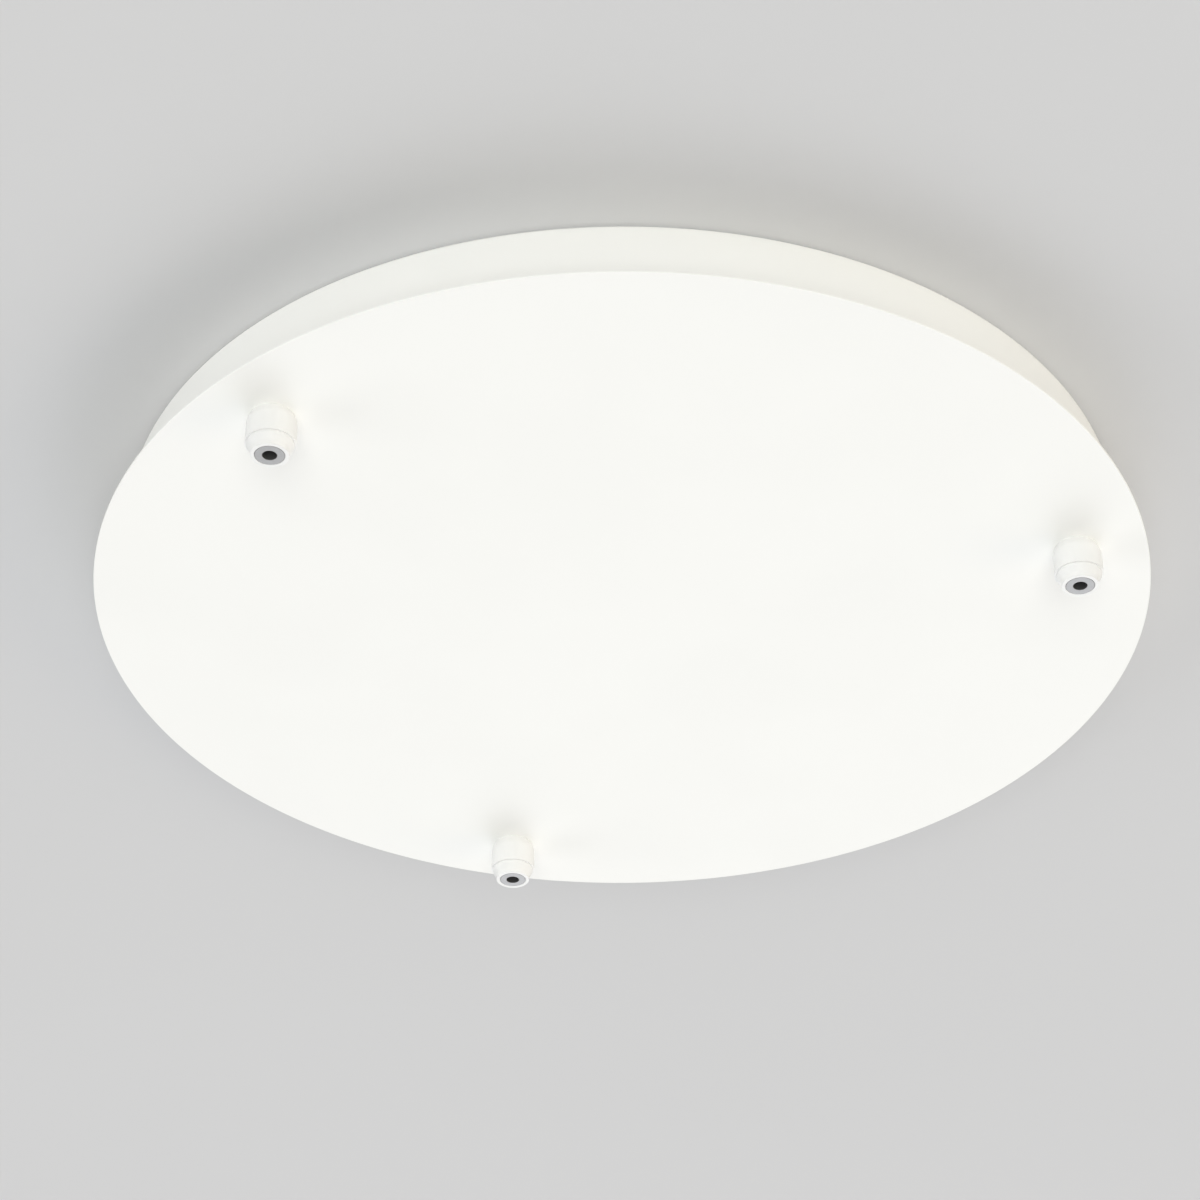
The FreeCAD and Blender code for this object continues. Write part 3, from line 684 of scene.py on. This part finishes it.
def slot_cutter(spot, length, width, low, high):
    """A round-ended cutter along X."""
    piece = bar("slot", (-length / 2, -width / 2, low), (length / 2, width / 2, high))
    edit(piece)
    pick(piece, "edges", lambda edge: abs(edge.verts[0].co.z - edge.verts[1].co.z) > SAME_POINT)
    bpy.ops.mesh.bevel(offset=width / 2, segments=SLOT_CORNER_STEPS, profile=0.5, affect="EDGES")
    tidy_faces()
    close_edit()
    return settled(piece, *spot)


def dimple_cutter(spot, top):
    """A shallow dish with a sloping side, as a spot weld leaves it."""
    piece = rod("dimple", WELD_RADIUS, top - WELD_DEPTH, top + WELD_DEPTH, steps=DIMPLE_STEPS)
    edit(piece)
    pick(piece, "verts", lambda vert: vert.co.z < top)
    bpy.ops.transform.resize(value=(DIMPLE_FLOOR_SHARE, DIMPLE_FLOOR_SHARE, 1))
    close_edit()
    return settled(piece, *spot)


def earth_sign_cutters(x, y, surface):
    """The stem and the three bars of a stamped earth sign, in two sets whose strokes don't touch."""
    side = SIGN_STROKE / 2
    strokes = [bar("stem", (-side, 0, -STAMP_DEPTH), (side, SIGN_STEM, STAMP_DEPTH))]
    for k, half in enumerate(SIGN_BAR_HALVES):
        top = -k * SIGN_BAR_PITCH
        strokes.append(bar("stroke", (-half, top - SIGN_STROKE, -STAMP_DEPTH), (half, top, STAMP_DEPTH)))
    strokes = [settled(piece, x, y, surface) for piece in strokes]
    return joined(strokes[0::2], "sign"), joined(strokes[1::2], "sign")


def painted_pan():
    """Drawn steel pan: dish, pressed bead, rounded back edge, slots, and the marks of its spot welds."""
    level = pan_high.z - PAN_SHEET / 2
    wall = pan_radius - PAN_SHEET / 2
    bead_in = BEAD_RADIUS - BEAD_HALF_WIDTH
    bead_out = BEAD_RADIUS + BEAD_HALF_WIDTH
    pan = turned("painted_pan", [
        (INLET_HOLE_RADIUS, level - DISH_DEPTH, 0.0),
        (DISH_RADIUS, level - DISH_DEPTH, PRESSED_BEND),
        (DISH_RADIUS + DISH_SLOPE, level, PRESSED_BEND),
        (bead_in - BEAD_SLOPE, level, PRESSED_BEND),
        (bead_in, level - BEAD_DEPTH, PRESSED_BEND),
        (bead_out, level - BEAD_DEPTH, PRESSED_BEND),
        (bead_out + BEAD_SLOPE, level, PRESSED_BEND),
        (wall, level, PAN_BEND),
        (wall, pan_low.z, 0.0),
    ], closed=False, steps=ROUND_STEPS)
    sheet = pan.modifiers.new("sheet", "SOLIDIFY")
    sheet.thickness = PAN_SHEET
    sheet.offset = 0
    sheet.use_even_offset = True
    alone(pan)
    bpy.ops.object.modifier_apply(modifier=sheet.name)
    edit(pan)
    pick(pan, "edges", lambda edge: edge.calc_face_angle(0) > FOLD_ANGLE)
    bpy.ops.mesh.bevel(offset=PAINTED_EDGE, segments=PAINTED_EDGE_STEPS, profile=0.5, affect="EDGES")
    close_edit()
    slots = mounts["ceiling_slots"]["dims"]
    reach_x = slots["spacing_x_mm"] / 2 * MM
    reach_y = slots["spacing_y_mm"] / 2 * MM
    cutters = [slot_cutter((x, y), slots["slot_length_mm"] * MM, 2 * slots["hole_r_mm"] * MM,
                           -2 * PAN_SHEET, PAN_SHEET)
               for x in (-reach_x, reach_x) for y in (-reach_y, reach_y)]
    cutters += [dimple_cutter(spot, pan_high.z) for spot in bracket_welds() + hat_welds()]
    cut(pan, joined(cutters, "pan_cutters"))
    for strokes in earth_sign_cutters(EARTH_X + EARTH_SIGN_STEP, EARTH_Y, pan_high.z - PAN_SHEET):
        cut(pan, strokes)
    return dress(pan, "root", "white_paint", ["base_pan"])


def painted_cover():
    """Flat steel disc with softly rounded edges and the three holes that the grips clamp over."""
    disc = turned("painted_cover", [
        (0.0, cover_face, 0.0),
        (cover_radius, cover_face, COVER_EDGE_ROUND),
        (cover_radius, cover_top, COVER_EDGE_ROUND),
        (0.0, cover_top, 0.0),
    ], closed=False, steps=ROUND_STEPS)
    holes = [rod("hole", OUTLET_HOLE_RADIUS, cover_face - MM, cover_top + MM, *spot) for spot in outlets]
    cut(disc, joined(holes, "cover_cutters"))
    for strokes in earth_sign_cutters(EARTH_X + EARTH_SIGN_STEP, -EARTH_Y, cover_top):
        cut(disc, strokes)
    return dress(disc, "cover", "white_paint", ["cover_plate"])


def set_out(pattern, name, places, body, slot, node=None):
    """Copies of a pattern at each place, joined as one piece."""
    copies = [settled(another(pattern, name), *place) for place in places]
    bpy.data.objects.remove(pattern)
    return dress(joined(copies, name), body, slot, [node] if node else [])


def weld_mark():
    """The shallow ring that a spot weld leaves on plated steel, facing up from z = 0."""
    return turned("weld_mark", sharp([
        (0.0, WELD_FLAT_HEIGHT),
        (WELD_FLAT_RADIUS, WELD_FLAT_HEIGHT),
        (WELD_CREST_RADIUS, WELD_CREST_HEIGHT),
        (WELD_RADIUS, -WELD_SUNK),
        (0.0, -WELD_SUNK),
    ]), closed=False, steps=WELD_MARK_STEPS)


def weld_marks():
    """Weld rings on the feet of the brackets under the pan, and of the lugs on the cover."""
    under = pan_high.z - PAN_SHEET
    spots = [(x, y, under - BRACKET_SHEET, 0.0, 180.0) for x, y in bracket_welds()]
    spots += [(x, y, under - HAT_SHEET, 0.0, 180.0) for x, y in hat_welds()]
    set_out(weld_mark(), "pan_spot_welds", spots, "root", "zinc_steel")
    spots = [(x, y, cover_top + LUG_SHEET) for x, y in lug_welds()]
    set_out(weld_mark(), "cover_spot_welds", spots, "cover", "zinc_steel")


# Cord grips, made about the Z axis with the cover's lower face at z = 0
# Bores, openings and rims are radii. Roofs, tops, the cap's shoulder and ledge, and GRIP_END are heights.

GRIP_BODY_LENGTH = cover_face - grip_low.z
SHANK_TOP = grip_high.z - cover_face
SKIRT_TOP = cap_high.z - cover_face
GRIP_END = cap_low.z - cover_face
COLLET_TOP = collet_high.z - cover_face
SEAM = 0.01 * MM
SEAM_ROUND = 0.03 * MM
CAP_SHOULDER = -GRIP_BODY_LENGTH - SEAM
CAP_LEDGE_RISE = 0.15 * MM
CAP_LEDGE = CAP_SHOULDER + CAP_LEDGE_RISE
BODY_NARROWING = 1.2 * MM
BODY_SHOULDER_HEIGHT = 3.2 * MM
BODY_SHOULDER_ROUND = 4.0 * MM
SHANK_RADIUS = 5.0 * MM
SHANK_PITCH = 1.5 * MM
SHANK_DEPTH = 0.8 * MM
SKIRT_RADIUS = 7.3 * MM
SKIRT_BORE = 6.45 * MM
SKIRT_PITCH = 1.0 * MM
SKIRT_DEPTH = 0.35 * MM
BODY_BORE = 7.4 * MM
BORE_SPARE = 1.25 * MM
SEAT_LENGTH = 3.0 * MM
POCKET_LENGTH = 1.0 * MM
BORE_ROOF = SKIRT_TOP + BORE_SPARE
SEAT_ROOF = BORE_ROOF + SEAT_LENGTH
POCKET_ROOF = SEAT_ROOF + POCKET_LENGTH
SEAT_MOUTH_RADIUS = 6.1 * MM
SEAT_TOP_RADIUS = 4.6 * MM
CAP_RADIUS = 8.4 * MM
CAP_OPENING = 5.42 * MM
CAP_RIM = 6.85 * MM
CAP_BAND = 0.9 * MM
CAP_BAND_ROUND = 1.0 * MM
CAP_NECK = 1.9 * MM
CAP_NECK_FLARE = 0.15 * MM
CAP_NECK_ROUND = 1.5 * MM
COLLET_END_RADIUS = 5.3 * MM
FLANGE_RADIUS = 6.3 * MM
FLANGE_THICKNESS = 0.95 * MM
FLANGE_CLEARANCE = 0.05 * MM
FINGER_RADIUS = 5.5 * MM
FINGER_CLEARANCE = 0.15 * MM
FINGER_TAPER = 2.0
FINGER_SLOT_WIDTH = 0.7 * MM
FINGER_SLOT_LENGTH = 5.0 * MM
FINGER_SLOT_START = 0.3 * MM
FINGER_SLOT_REACH = 8.0 * MM
FINGER_SLOT_ANGLES = (30.0, 150.0, 270.0)
LOCKNUT_TURN = 30.0

# Nuts and washers: angles, and shares of their own sizes

HEXAGON_HALF_ANGLE = math.radians(30)
NUT_FACE_SHARE = 0.99
NUT_BLANK_SHARE = 1.01
NUT_LEAD_SHARE = 0.12
NUT_CHAMFER = math.radians(30)
WASHER_BURR_SHARE = 0.1
WASHER_ROLL_SHARE = 0.3
WASHER_BORE_SHARE = 0.15


def grip_body(name):
    """Moulded body with its threaded shank, cap bore and tapered seat."""
    shank = thread(name, SHANK_RADIUS, SHANK_PITCH, SHANK_DEPTH, 0.0, SHANK_TOP)
    shell = turned("shell", [
        (cord_radius, SHANK_TOP, 0.0),
        (cord_radius, POCKET_ROOF, 0.0),
        (SEAT_TOP_RADIUS, POCKET_ROOF, 0.0),
        (SEAT_TOP_RADIUS, SEAT_ROOF, 0.0),
        (SEAT_MOUTH_RADIUS, BORE_ROOF, 0.0),
        (BODY_BORE, BORE_ROOF, 0.0),
        (BODY_BORE, -GRIP_BODY_LENGTH, MOULD_ROUND),
        (grip_radius, -GRIP_BODY_LENGTH, SEAM_ROUND),
        (grip_radius, -BODY_SHOULDER_HEIGHT, BODY_SHOULDER_ROUND),
        (grip_radius - BODY_NARROWING, 0.0, 0.0),
        (SHANK_RADIUS + JOIN_STEP, 0.0, 0.0),
    ], closed=False)
    return bridged(joined([shank, shell], name), 0.0, SHANK_TOP)


def grip_cap(name):
    """Cap with a rounded nose and a threaded skirt."""
    skirt = thread(name, SKIRT_RADIUS, SKIRT_PITCH, SKIRT_DEPTH, CAP_SHOULDER, SKIRT_TOP)
    nose = turned("nose", [
        (SKIRT_BORE, SKIRT_TOP, 0.0),
        (SKIRT_BORE, CAP_LEDGE, 0.0),
        (CAP_OPENING, CAP_LEDGE, 0.0),
        (CAP_OPENING, GRIP_END, OPENING_ROUND),
        (CAP_RIM, GRIP_END, EDGE_ROUND),
        (CAP_RIM + CAP_NECK_FLARE, GRIP_END + CAP_NECK, CAP_NECK_ROUND),
        (CAP_RADIUS, CAP_SHOULDER - CAP_BAND, CAP_BAND_ROUND),
        (CAP_RADIUS, CAP_SHOULDER, SEAM_ROUND),
        (SKIRT_RADIUS + JOIN_STEP, CAP_SHOULDER, 0.0),
    ], closed=False)
    return bridged(joined([skirt, nose], name), CAP_SHOULDER, SKIRT_TOP)


def grip_collet(name):
    """Sleeve round the cord: plain end, flange, and slotted fingers that a taper closes."""
    flange = CAP_LEDGE + FLANGE_CLEARANCE
    flange_top = flange + FLANGE_THICKNESS
    tip = SEAT_TOP_RADIUS - FINGER_CLEARANCE
    sleeve = turned(name, [
        (cord_radius, GRIP_END, MOULD_ROUND),
        (COLLET_END_RADIUS, GRIP_END, OPENING_ROUND),
        (COLLET_END_RADIUS, flange, 0.0),
        (FLANGE_RADIUS, flange, FINE_ROUND),
        (FLANGE_RADIUS, flange_top, FINE_ROUND),
        (FINGER_RADIUS, flange_top, 0.0),
        (FINGER_RADIUS, COLLET_TOP - FINGER_TAPER * (FINGER_RADIUS - tip), SOFT_ROUND),
        (tip, COLLET_TOP, FINE_ROUND),
        (cord_radius, COLLET_TOP, FINE_ROUND),
    ])
    low = (FINGER_SLOT_START, -FINGER_SLOT_WIDTH / 2, COLLET_TOP - FINGER_SLOT_LENGTH)
    high = (FINGER_SLOT_REACH, FINGER_SLOT_WIDTH / 2, COLLET_TOP + MM)
    slots = [swung(bar("slot", low, high), angle) for angle in FINGER_SLOT_ANGLES]
    return cut(sleeve, joined(slots, "collet_cutters"))


def hex_nut(name, flats, height, bore):
    """Hexagon nut standing on z = 0, its corners and its bore chamfered both ends."""
    corner = flats / 2 / math.cos(HEXAGON_HALF_ANGLE)
    face = flats / 2 * NUT_FACE_SHARE
    blank = corner * NUT_BLANK_SHARE
    drop = (corner - face) * math.tan(NUT_CHAMFER)
    lead = bore * NUT_LEAD_SHARE
    nut = turned(name, sharp([
        (bore, lead),
        (bore + lead, 0.0),
        (face, 0.0),
        (blank, drop),
        (blank, height - drop),
        (face, height),
        (bore + lead, height),
        (bore, height - lead),
    ]))
    alone()
    bpy.ops.mesh.primitive_cylinder_add(vertices=6, radius=corner, depth=3 * height)
    prism = settled(bpy.context.active_object, turn=30)
    return cut(nut, prism, "INTERSECT")


def washer(name, bore, radius, thickness):
    """Stamped washer standing on z = 0, with one edge rolled over by the punch."""
    return turned(name, [
        (bore, 0.0, 0.0),
        (radius, 0.0, thickness * WASHER_BURR_SHARE),
        (radius, thickness, thickness * WASHER_ROLL_SHARE),
        (bore, thickness, thickness * WASHER_BORE_SHARE),
    ])


def cord_grips():
    """The three grips, each on its own bodies, with their washers and lock nuts."""
    makers = (("grip_body", grip_body, "cover", "white_nylon"),
              ("grip_cap", grip_cap, "cap_{}_body", "white_nylon"),
              ("collet", grip_collet, "collet_{}_body", "grey_nylon"))
    for node, make, body, slot in makers:
        pattern = make(f"moulded_{node}")
        for k, (x, y) in enumerate(outlets, 1):
            piece = settled(another(pattern, f"moulded_{node}_{k}"), x, y, cover_face)
            dress(piece, body.format(k), slot, [f"{node}_{k}"])
        bpy.data.objects.remove(pattern)
    nut_low, nut_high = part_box("grip_locknut_1")
    flats = nut_high.x - nut_low.x
    height = nut_high.z - nut_low.z
    washer_low, washer_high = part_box("grip_washer_1")
    radius = (washer_high.x - washer_low.x) / 2
    thickness = washer_high.z - washer_low.z
    for k, (x, y) in enumerate(outlets, 1):
        set_out(hex_nut("nut", flats, height, SHANK_RADIUS + NUT_CLEARANCE),
                f"chamfered_locknut_{k}", [(x, y, nut_low.z, LOCKNUT_TURN)],
                "cover", "zinc_steel", f"grip_locknut_{k}")
        set_out(washer("washer", SHANK_RADIUS + WASHER_CLEARANCE, radius, thickness),
                f"stamped_washer_{k}", [(x, y, washer_low.z)],
                "cover", "zinc_steel", f"grip_washer_{k}")


# Magnets, screws, nuts and studs, each made head down about the Z axis from z = 0

CUP_SHEET = 1.5 * MM
SCREW_HOLE_RADIUS = 2.2 * MM
SINK_MOUTH_RADIUS = 4.2 * MM
SUNK_HEAD_RADIUS = 4.0 * MM
SUNK_HEAD_HEIGHT = 2.0 * MM
SUNK_RECESS = (4.4 * MM, 0.9 * MM, 1.6 * MM)
PAN_HEAD_RADIUS = 2.8 * MM
PAN_HEAD_HEIGHT = 2.2 * MM
PAN_RECESS = (3.4 * MM, 0.7 * MM, 1.3 * MM)
RECESS_FLOOR_SHARE = (0.35, 0.8, 1.0)
SCREWDRIVER_SLOT = 0.5 * MM
SCREWDRIVER_SLOT_DEPTH = 0.9 * MM
M4_RADIUS = 2.0 * MM
M4_PITCH = 0.7 * MM
M4_FLATS = 7.0 * MM
M4_NUT = 3.2 * MM
M3_RADIUS = 1.5 * MM
M3_PITCH = 0.5 * MM
M3_FLATS = 5.5 * MM
M3_NUT = 2.4 * MM
THREAD_SHARE = 0.6
STUD_FLANGE_RADIUS = 2.8 * MM
STUD_FLANGE_THICKNESS = 0.8 * MM
EARTH_WASHER_RADIUS = 4.5 * MM
EARTH_WASHER = 0.8 * MM

# How far screws are turned, in degrees: the first one, and the step to the next

MAGNET_SCREW_TURN = 15.0
MAGNET_SCREW_TURN_STEP = 23.0
SET_SCREW_TURN = 20.0
SET_SCREW_TURN_STEP = 37.0
BLOCK_SCREW_TURN = 40.0

magnet_reach = (cup_low.x + cup_high.x) / 2
magnet_spots = [about_axis(magnet_reach, 0, angle) for angle in MAGNET_ANGLES]


def magnet_cup(name):
    """Drawn steel cup of a pot magnet, open downwards."""
    radius = (cup_high.y - cup_low.y) / 2
    roof = cup_high.z - CUP_SHEET
    return turned(name, [
        (SCREW_HOLE_RADIUS, roof, 0.0),
        (radius - CUP_SHEET, roof, SOFT_ROUND),
        (radius - CUP_SHEET, cup_low.z, FINE_ROUND),
        (radius, cup_low.z, EDGE_ROUND),
        (radius, cup_high.z, DRAWN_ROUND),
        (SCREW_HOLE_RADIUS, cup_high.z, FINE_ROUND),
    ])


def magnet_ring(name):
    """Countersunk magnet in the cup."""
    radius = (ring_high.y - ring_low.y) / 2
    return turned(name, [
        (SINK_MOUTH_RADIUS, ring_low.z, FINE_ROUND),
        (radius, ring_low.z, SOFT_ROUND),
        (radius, ring_high.z, EDGE_ROUND),
        (SCREW_HOLE_RADIUS, ring_high.z, 0.0),
        (SCREW_HOLE_RADIUS, ring_low.z + SINK_MOUTH_RADIUS - SCREW_HOLE_RADIUS, 0.0),
    ])


def cross_recess(span, width, depth):
    """The cutter of a cross recess: two crossed wedges that narrow upwards."""
    wedges = []
    for turn in (0.0, 90.0):
        wedge = bar("wedge", (-span / 2, -width / 2, -depth), (span / 2, width / 2, depth))
        edit(wedge)
        pick(wedge, "verts", lambda vert: vert.co.z > 0)
        bpy.ops.transform.resize(value=RECESS_FLOOR_SHARE)
        close_edit()
        wedges.append(swung(wedge, turn))
    return cut(wedges[0], wedges[1], "UNION")


def screw(name, radius, pitch, head, length):
    """A threaded screw or stud. Its head is an outline from the axis outwards, up to the thread's foot."""
    start = head[-1][1]
    shank = thread(name, radius, pitch, THREAD_SHARE * pitch, start, length, high_filled=True)
    outline = head[:-1] + [(radius + JOIN_STEP, start, 0.0)]
    foot = turned("head", outline, closed=False, steps=HEAD_STEPS)
    return bridged(joined([shank, foot], name), start)


def magnet_screw():
    """Countersunk cross-head screw."""
    low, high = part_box("magnet_screws")
    made = screw("screw", M4_RADIUS, M4_PITCH, [
        (0.0, 0.0, 0.0),
        (SUNK_HEAD_RADIUS, 0.0, MOULD_ROUND),
        (M4_RADIUS, SUNK_HEAD_HEIGHT, 0.0),
    ], high.z - low.z)
    return cut(made, cross_recess(*SUNK_RECESS))


def block_screw():
    """Pan-head cross-head screw."""
    low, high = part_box("block_screws")
    made = screw("screw", M3_RADIUS, M3_PITCH, [
        (0.0, 0.0, 0.0),
        (PAN_HEAD_RADIUS, 0.0, DRAWN_ROUND),
        (PAN_HEAD_RADIUS, PAN_HEAD_HEIGHT, MOULD_ROUND),
        (M3_RADIUS, PAN_HEAD_HEIGHT, 0.0),
    ], high.z - low.z)
    return cut(made, cross_recess(*PAN_RECESS))


def set_screw():
    """Slotted screw with no head."""
    low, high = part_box("terminal_screws")
    made = thread("screw", M3_RADIUS, M3_PITCH, THREAD_SHARE * M3_PITCH, 0.0, high.z - low.z,
                  low_filled=True, high_filled=True)
    half = SCREWDRIVER_SLOT / 2
    slot = bar("slot", (-2 * MM, -half, -MM), (2 * MM, half, SCREWDRIVER_SLOT_DEPTH))
    return cut(smooth(made), slot)


def earth_stud():
    """Weld stud on a round flange."""
    low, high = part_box("cover_earth_stud")
    return screw("stud", M4_RADIUS, M4_PITCH, [
        (0.0, 0.0, 0.0),
        (STUD_FLANGE_RADIUS, 0.0, 0.0),
        (STUD_FLANGE_RADIUS, STUD_FLANGE_THICKNESS, MOULD_ROUND),
        (M4_RADIUS, STUD_FLANGE_THICKNESS, 0.0),
    ], high.z - low.z)


def magnets():
    """Six pot magnets with their screws and nuts."""
    for k, spot in enumerate(magnet_spots, 1):
        set_out(magnet_cup("cup"), f"drawn_magnet_cup_{k}", [spot],
                "root", "nickel_cup", f"magnet_cup_{k}")
        set_out(magnet_ring("ring"), f"pressed_magnet_ring_{k}", [spot],
                "root", "dark_ferrite", f"magnet_ring_{k}")
    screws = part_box("magnet_screws")[0].z
    set_out(magnet_screw(), "crosshead_magnet_screws",
            [(x, y, screws, MAGNET_SCREW_TURN + MAGNET_SCREW_TURN_STEP * k)
             for k, (x, y) in enumerate(magnet_spots)],
            "root", "zinc_steel", "magnet_screws")
    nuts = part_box("magnet_nuts")[0].z
    set_out(hex_nut("nut", M4_FLATS, M4_NUT, M4_RADIUS + NUT_CLEARANCE), "chamfered_magnet_nuts",
            [(x, y, nuts) for x, y in magnet_spots], "root", "zinc_steel", "magnet_nuts")


def terminal_fasteners():
    """The terminal block's own screws, and the screws and nuts that fix it."""
    low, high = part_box("terminal_screws")
    poles = [k * (high.y - low.y - 2 * M3_RADIUS) / 2 for k in (-1, 0, 1)]
    set_out(set_screw(), "slotted_terminal_screws",
            [(x, y, low.z, SET_SCREW_TURN + SET_SCREW_TURN_STEP * k)
             for k, y in enumerate(poles) for x in (low.x + M3_RADIUS, high.x - M3_RADIUS)],
            "root", "zinc_steel", "terminal_screws")
    low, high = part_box("block_screws")
    webs = [poles[2] / 2 * side for side in (-1, 1)]
    middle = (low.x + high.x) / 2
    set_out(block_screw(), "crosshead_block_screws",
            [(middle, y, low.z, BLOCK_SCREW_TURN) for y in webs],
            "root", "zinc_steel", "block_screws")
    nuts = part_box("block_nuts")[0].z
    set_out(hex_nut("nut", M3_FLATS, M3_NUT, M3_RADIUS + NUT_CLEARANCE), "chamfered_block_nuts",
            [(middle, y, nuts) for y in webs], "root", "zinc_steel", "block_nuts")


def earth_terminals():
    """An earth stud, washer and nut under the pan, and the same on the cover."""
    under = pan_high.z - PAN_SHEET
    for side, body, y, surface, tip in (("pan", "root", EARTH_Y, under, 180.0),
                                        ("cover", "cover", -EARTH_Y, cover_top, 0.0)):
        away = -1 if tip else 1
        seat = surface + away * STUD_FLANGE_THICKNESS
        top = surface + away * (STUD_FLANGE_THICKNESS + EARTH_WASHER)
        set_out(earth_stud(), f"threaded_{side}_earth_stud", [(EARTH_X, y, surface, 0.0, tip)],
                body, "zinc_steel", f"{side}_earth_stud")
        set_out(washer("washer", SCREW_HOLE_RADIUS, EARTH_WASHER_RADIUS, EARTH_WASHER),
                f"stamped_{side}_earth_washer", [(EARTH_X, y, seat, 0.0, tip)],
                body, "zinc_steel", f"{side}_earth_washer")
        set_out(hex_nut("nut", M4_FLATS, M4_NUT, M4_RADIUS + NUT_CLEARANCE),
                f"chamfered_{side}_earth_nut", [(EARTH_X, y, top, 0.0, tip)],
                body, "zinc_steel", f"{side}_earth_nut")


def finish_frame_pieces():
    """Gives every piece of the frame the finish of its slot."""
    for part in frame["record"]["subparts"]:
        for place in bpy.data.objects[part["node"]].material_slots:
            place.material = finishes[part["material_slot"]]


# Ceiling, light and camera

CEILING_SIZE = 60.0
CEILING_GAP = 0.2 * MM
CEILING_FADE_START = 1.2
CEILING_FADE_END = 3.6
CEILING_PAINT = (0.642, 0.642, 0.646)
CEILING_SHADE = (0.632, 0.632, 0.636)
CAMERA_TARGET = Vector((-0.0113, -0.0004, -0.0160))
CAMERA_WAY = Vector((-1, 1, 1)).normalized()
CAMERA_DISTANCE = 1.2393
CAMERA_LENS = 96.28
CAMERA_NEAR = 0.05
ROOM_LIGHT = 0.39
ROOM_COLOUR = (0.98, 0.993, 1.0)
BACKDROP_COLOUR = (0.80, 0.80, 0.79)
LAMP_DISTANCE = 8.0

# Each lamp's name, the way to it, its width as a share of its distance, its share of full light, its colour

LAMPS = (
    ("far_lamp", (-1.25, 1.65, -1.2), 0.5, 0.12, (0.87, 0.90, 1.0)),
    ("far_window", (-1.3, 1.6, -1.5), 1.1, 0.33, (0.975, 0.99, 1.0)),
    ("far_right_window", (0.3, 1.6, -1.0), 1.0, 0.16, (1.0, 0.93, 0.96)),
    ("near_window", (0.72, -0.68, -0.25), 0.6, 0.20, (1.0, 0.975, 0.91)),
    ("near_lamp", (0.9, -0.9, -1.0), 0.7, 0.37, (0.985, 1.0, 0.97)),
    ("left_window", (-0.8, -0.7, -0.35), 0.8, 0.26, (0.99, 0.995, 1.0)),
    ("right_window", (0.8, 0.7, -0.35), 0.8, 0.19, (1.0, 0.83, 0.55)),
    ("upper_left", (-0.6, -0.4, 0.9), 0.5, 0.36, (1.0, 1.0, 1.0)),
    ("upper_right", (0.8, 0.3, 0.8), 0.5, 0.28, (1.0, 1.0, 1.0)),
)


def ceiling():
    """The plain ceiling that the rose is fixed to, faced downwards."""
    alone()
    bpy.ops.mesh.primitive_plane_add(size=CEILING_SIZE)
    plane = settled(named(bpy.context.active_object, "ceiling"), z=CEILING_GAP, tip=180)
    plane.data.materials.append(plaster(
        "painted_ceiling", CEILING_PAINT, CEILING_SHADE, hidden_radius=pan_radius - PAN_BEND,
        fade_start=CEILING_FADE_START, fade_end=CEILING_FADE_END))


def lamp(name, way, width, share, colour):
    """A round lamp that faces the rose and gives a surface that faces it a share of full light."""
    light = bpy.data.lights.new(name, "AREA")
    light.shape = "DISK"
    light.size = width * LAMP_DISTANCE
    light.energy = share * (math.pi * LAMP_DISTANCE) ** 2
    light.color = colour
    piece = bpy.data.objects.new(name, light)
    bpy.context.scene.collection.objects.link(piece)
    way = Vector(way).normalized()
    piece.location = way * LAMP_DISTANCE
    piece.rotation_euler = (-way).to_track_quat("-Z", "Y").to_euler()


def room():
    """Even light all round, and a plain pale backdrop that only the camera and glosses see."""
    world = bpy.data.worlds.new("room")
    bpy.context.scene.world = world
    world.use_nodes = True
    nodes = world.node_tree.nodes
    link = world.node_tree.links.new
    light = nodes["Background"]
    light.inputs["Color"].default_value = (*ROOM_COLOUR, 1)
    light.inputs["Strength"].default_value = ROOM_LIGHT
    backdrop = nodes.new("ShaderNodeBackground")
    backdrop.inputs["Color"].default_value = (*BACKDROP_COLOUR, 1)
    rays = nodes.new("ShaderNodeLightPath")
    seen = nodes.new("ShaderNodeMath")
    seen.operation = "MAXIMUM"
    link(rays.outputs["Is Camera Ray"], seen.inputs[0])
    link(rays.outputs["Is Glossy Ray"], seen.inputs[1])
    choice = nodes.new("ShaderNodeMixShader")
    link(seen.outputs[0], choice.inputs[0])
    link(light.outputs[0], choice.inputs[1])
    link(backdrop.outputs[0], choice.inputs[2])
    link(choice.outputs[0], nodes["World Output"].inputs["Surface"])


def camera():
    """The photograph's viewpoint: from below, 35 degrees under the ceiling, along (-1, 1, 1)."""
    lens = bpy.data.cameras.new("camera")
    lens.lens = CAMERA_LENS
    lens.clip_start = CAMERA_NEAR
    eye = bpy.data.objects.new("camera", lens)
    bpy.context.scene.collection.objects.link(eye)
    eye.location = CAMERA_TARGET - CAMERA_WAY * CAMERA_DISTANCE
    eye.rotation_euler = CAMERA_WAY.to_track_quat("-Z", "Y").to_euler()
    bpy.context.scene.camera = eye


painted_pan()
painted_cover()
weld_marks()
cord_grips()
magnets()
terminal_fasteners()
earth_terminals()
finish_frame_pieces()
ceiling()
for values in LAMPS:
    lamp(*values)
room()
camera()
bpy.context.scene.view_settings.view_transform = "Standard"
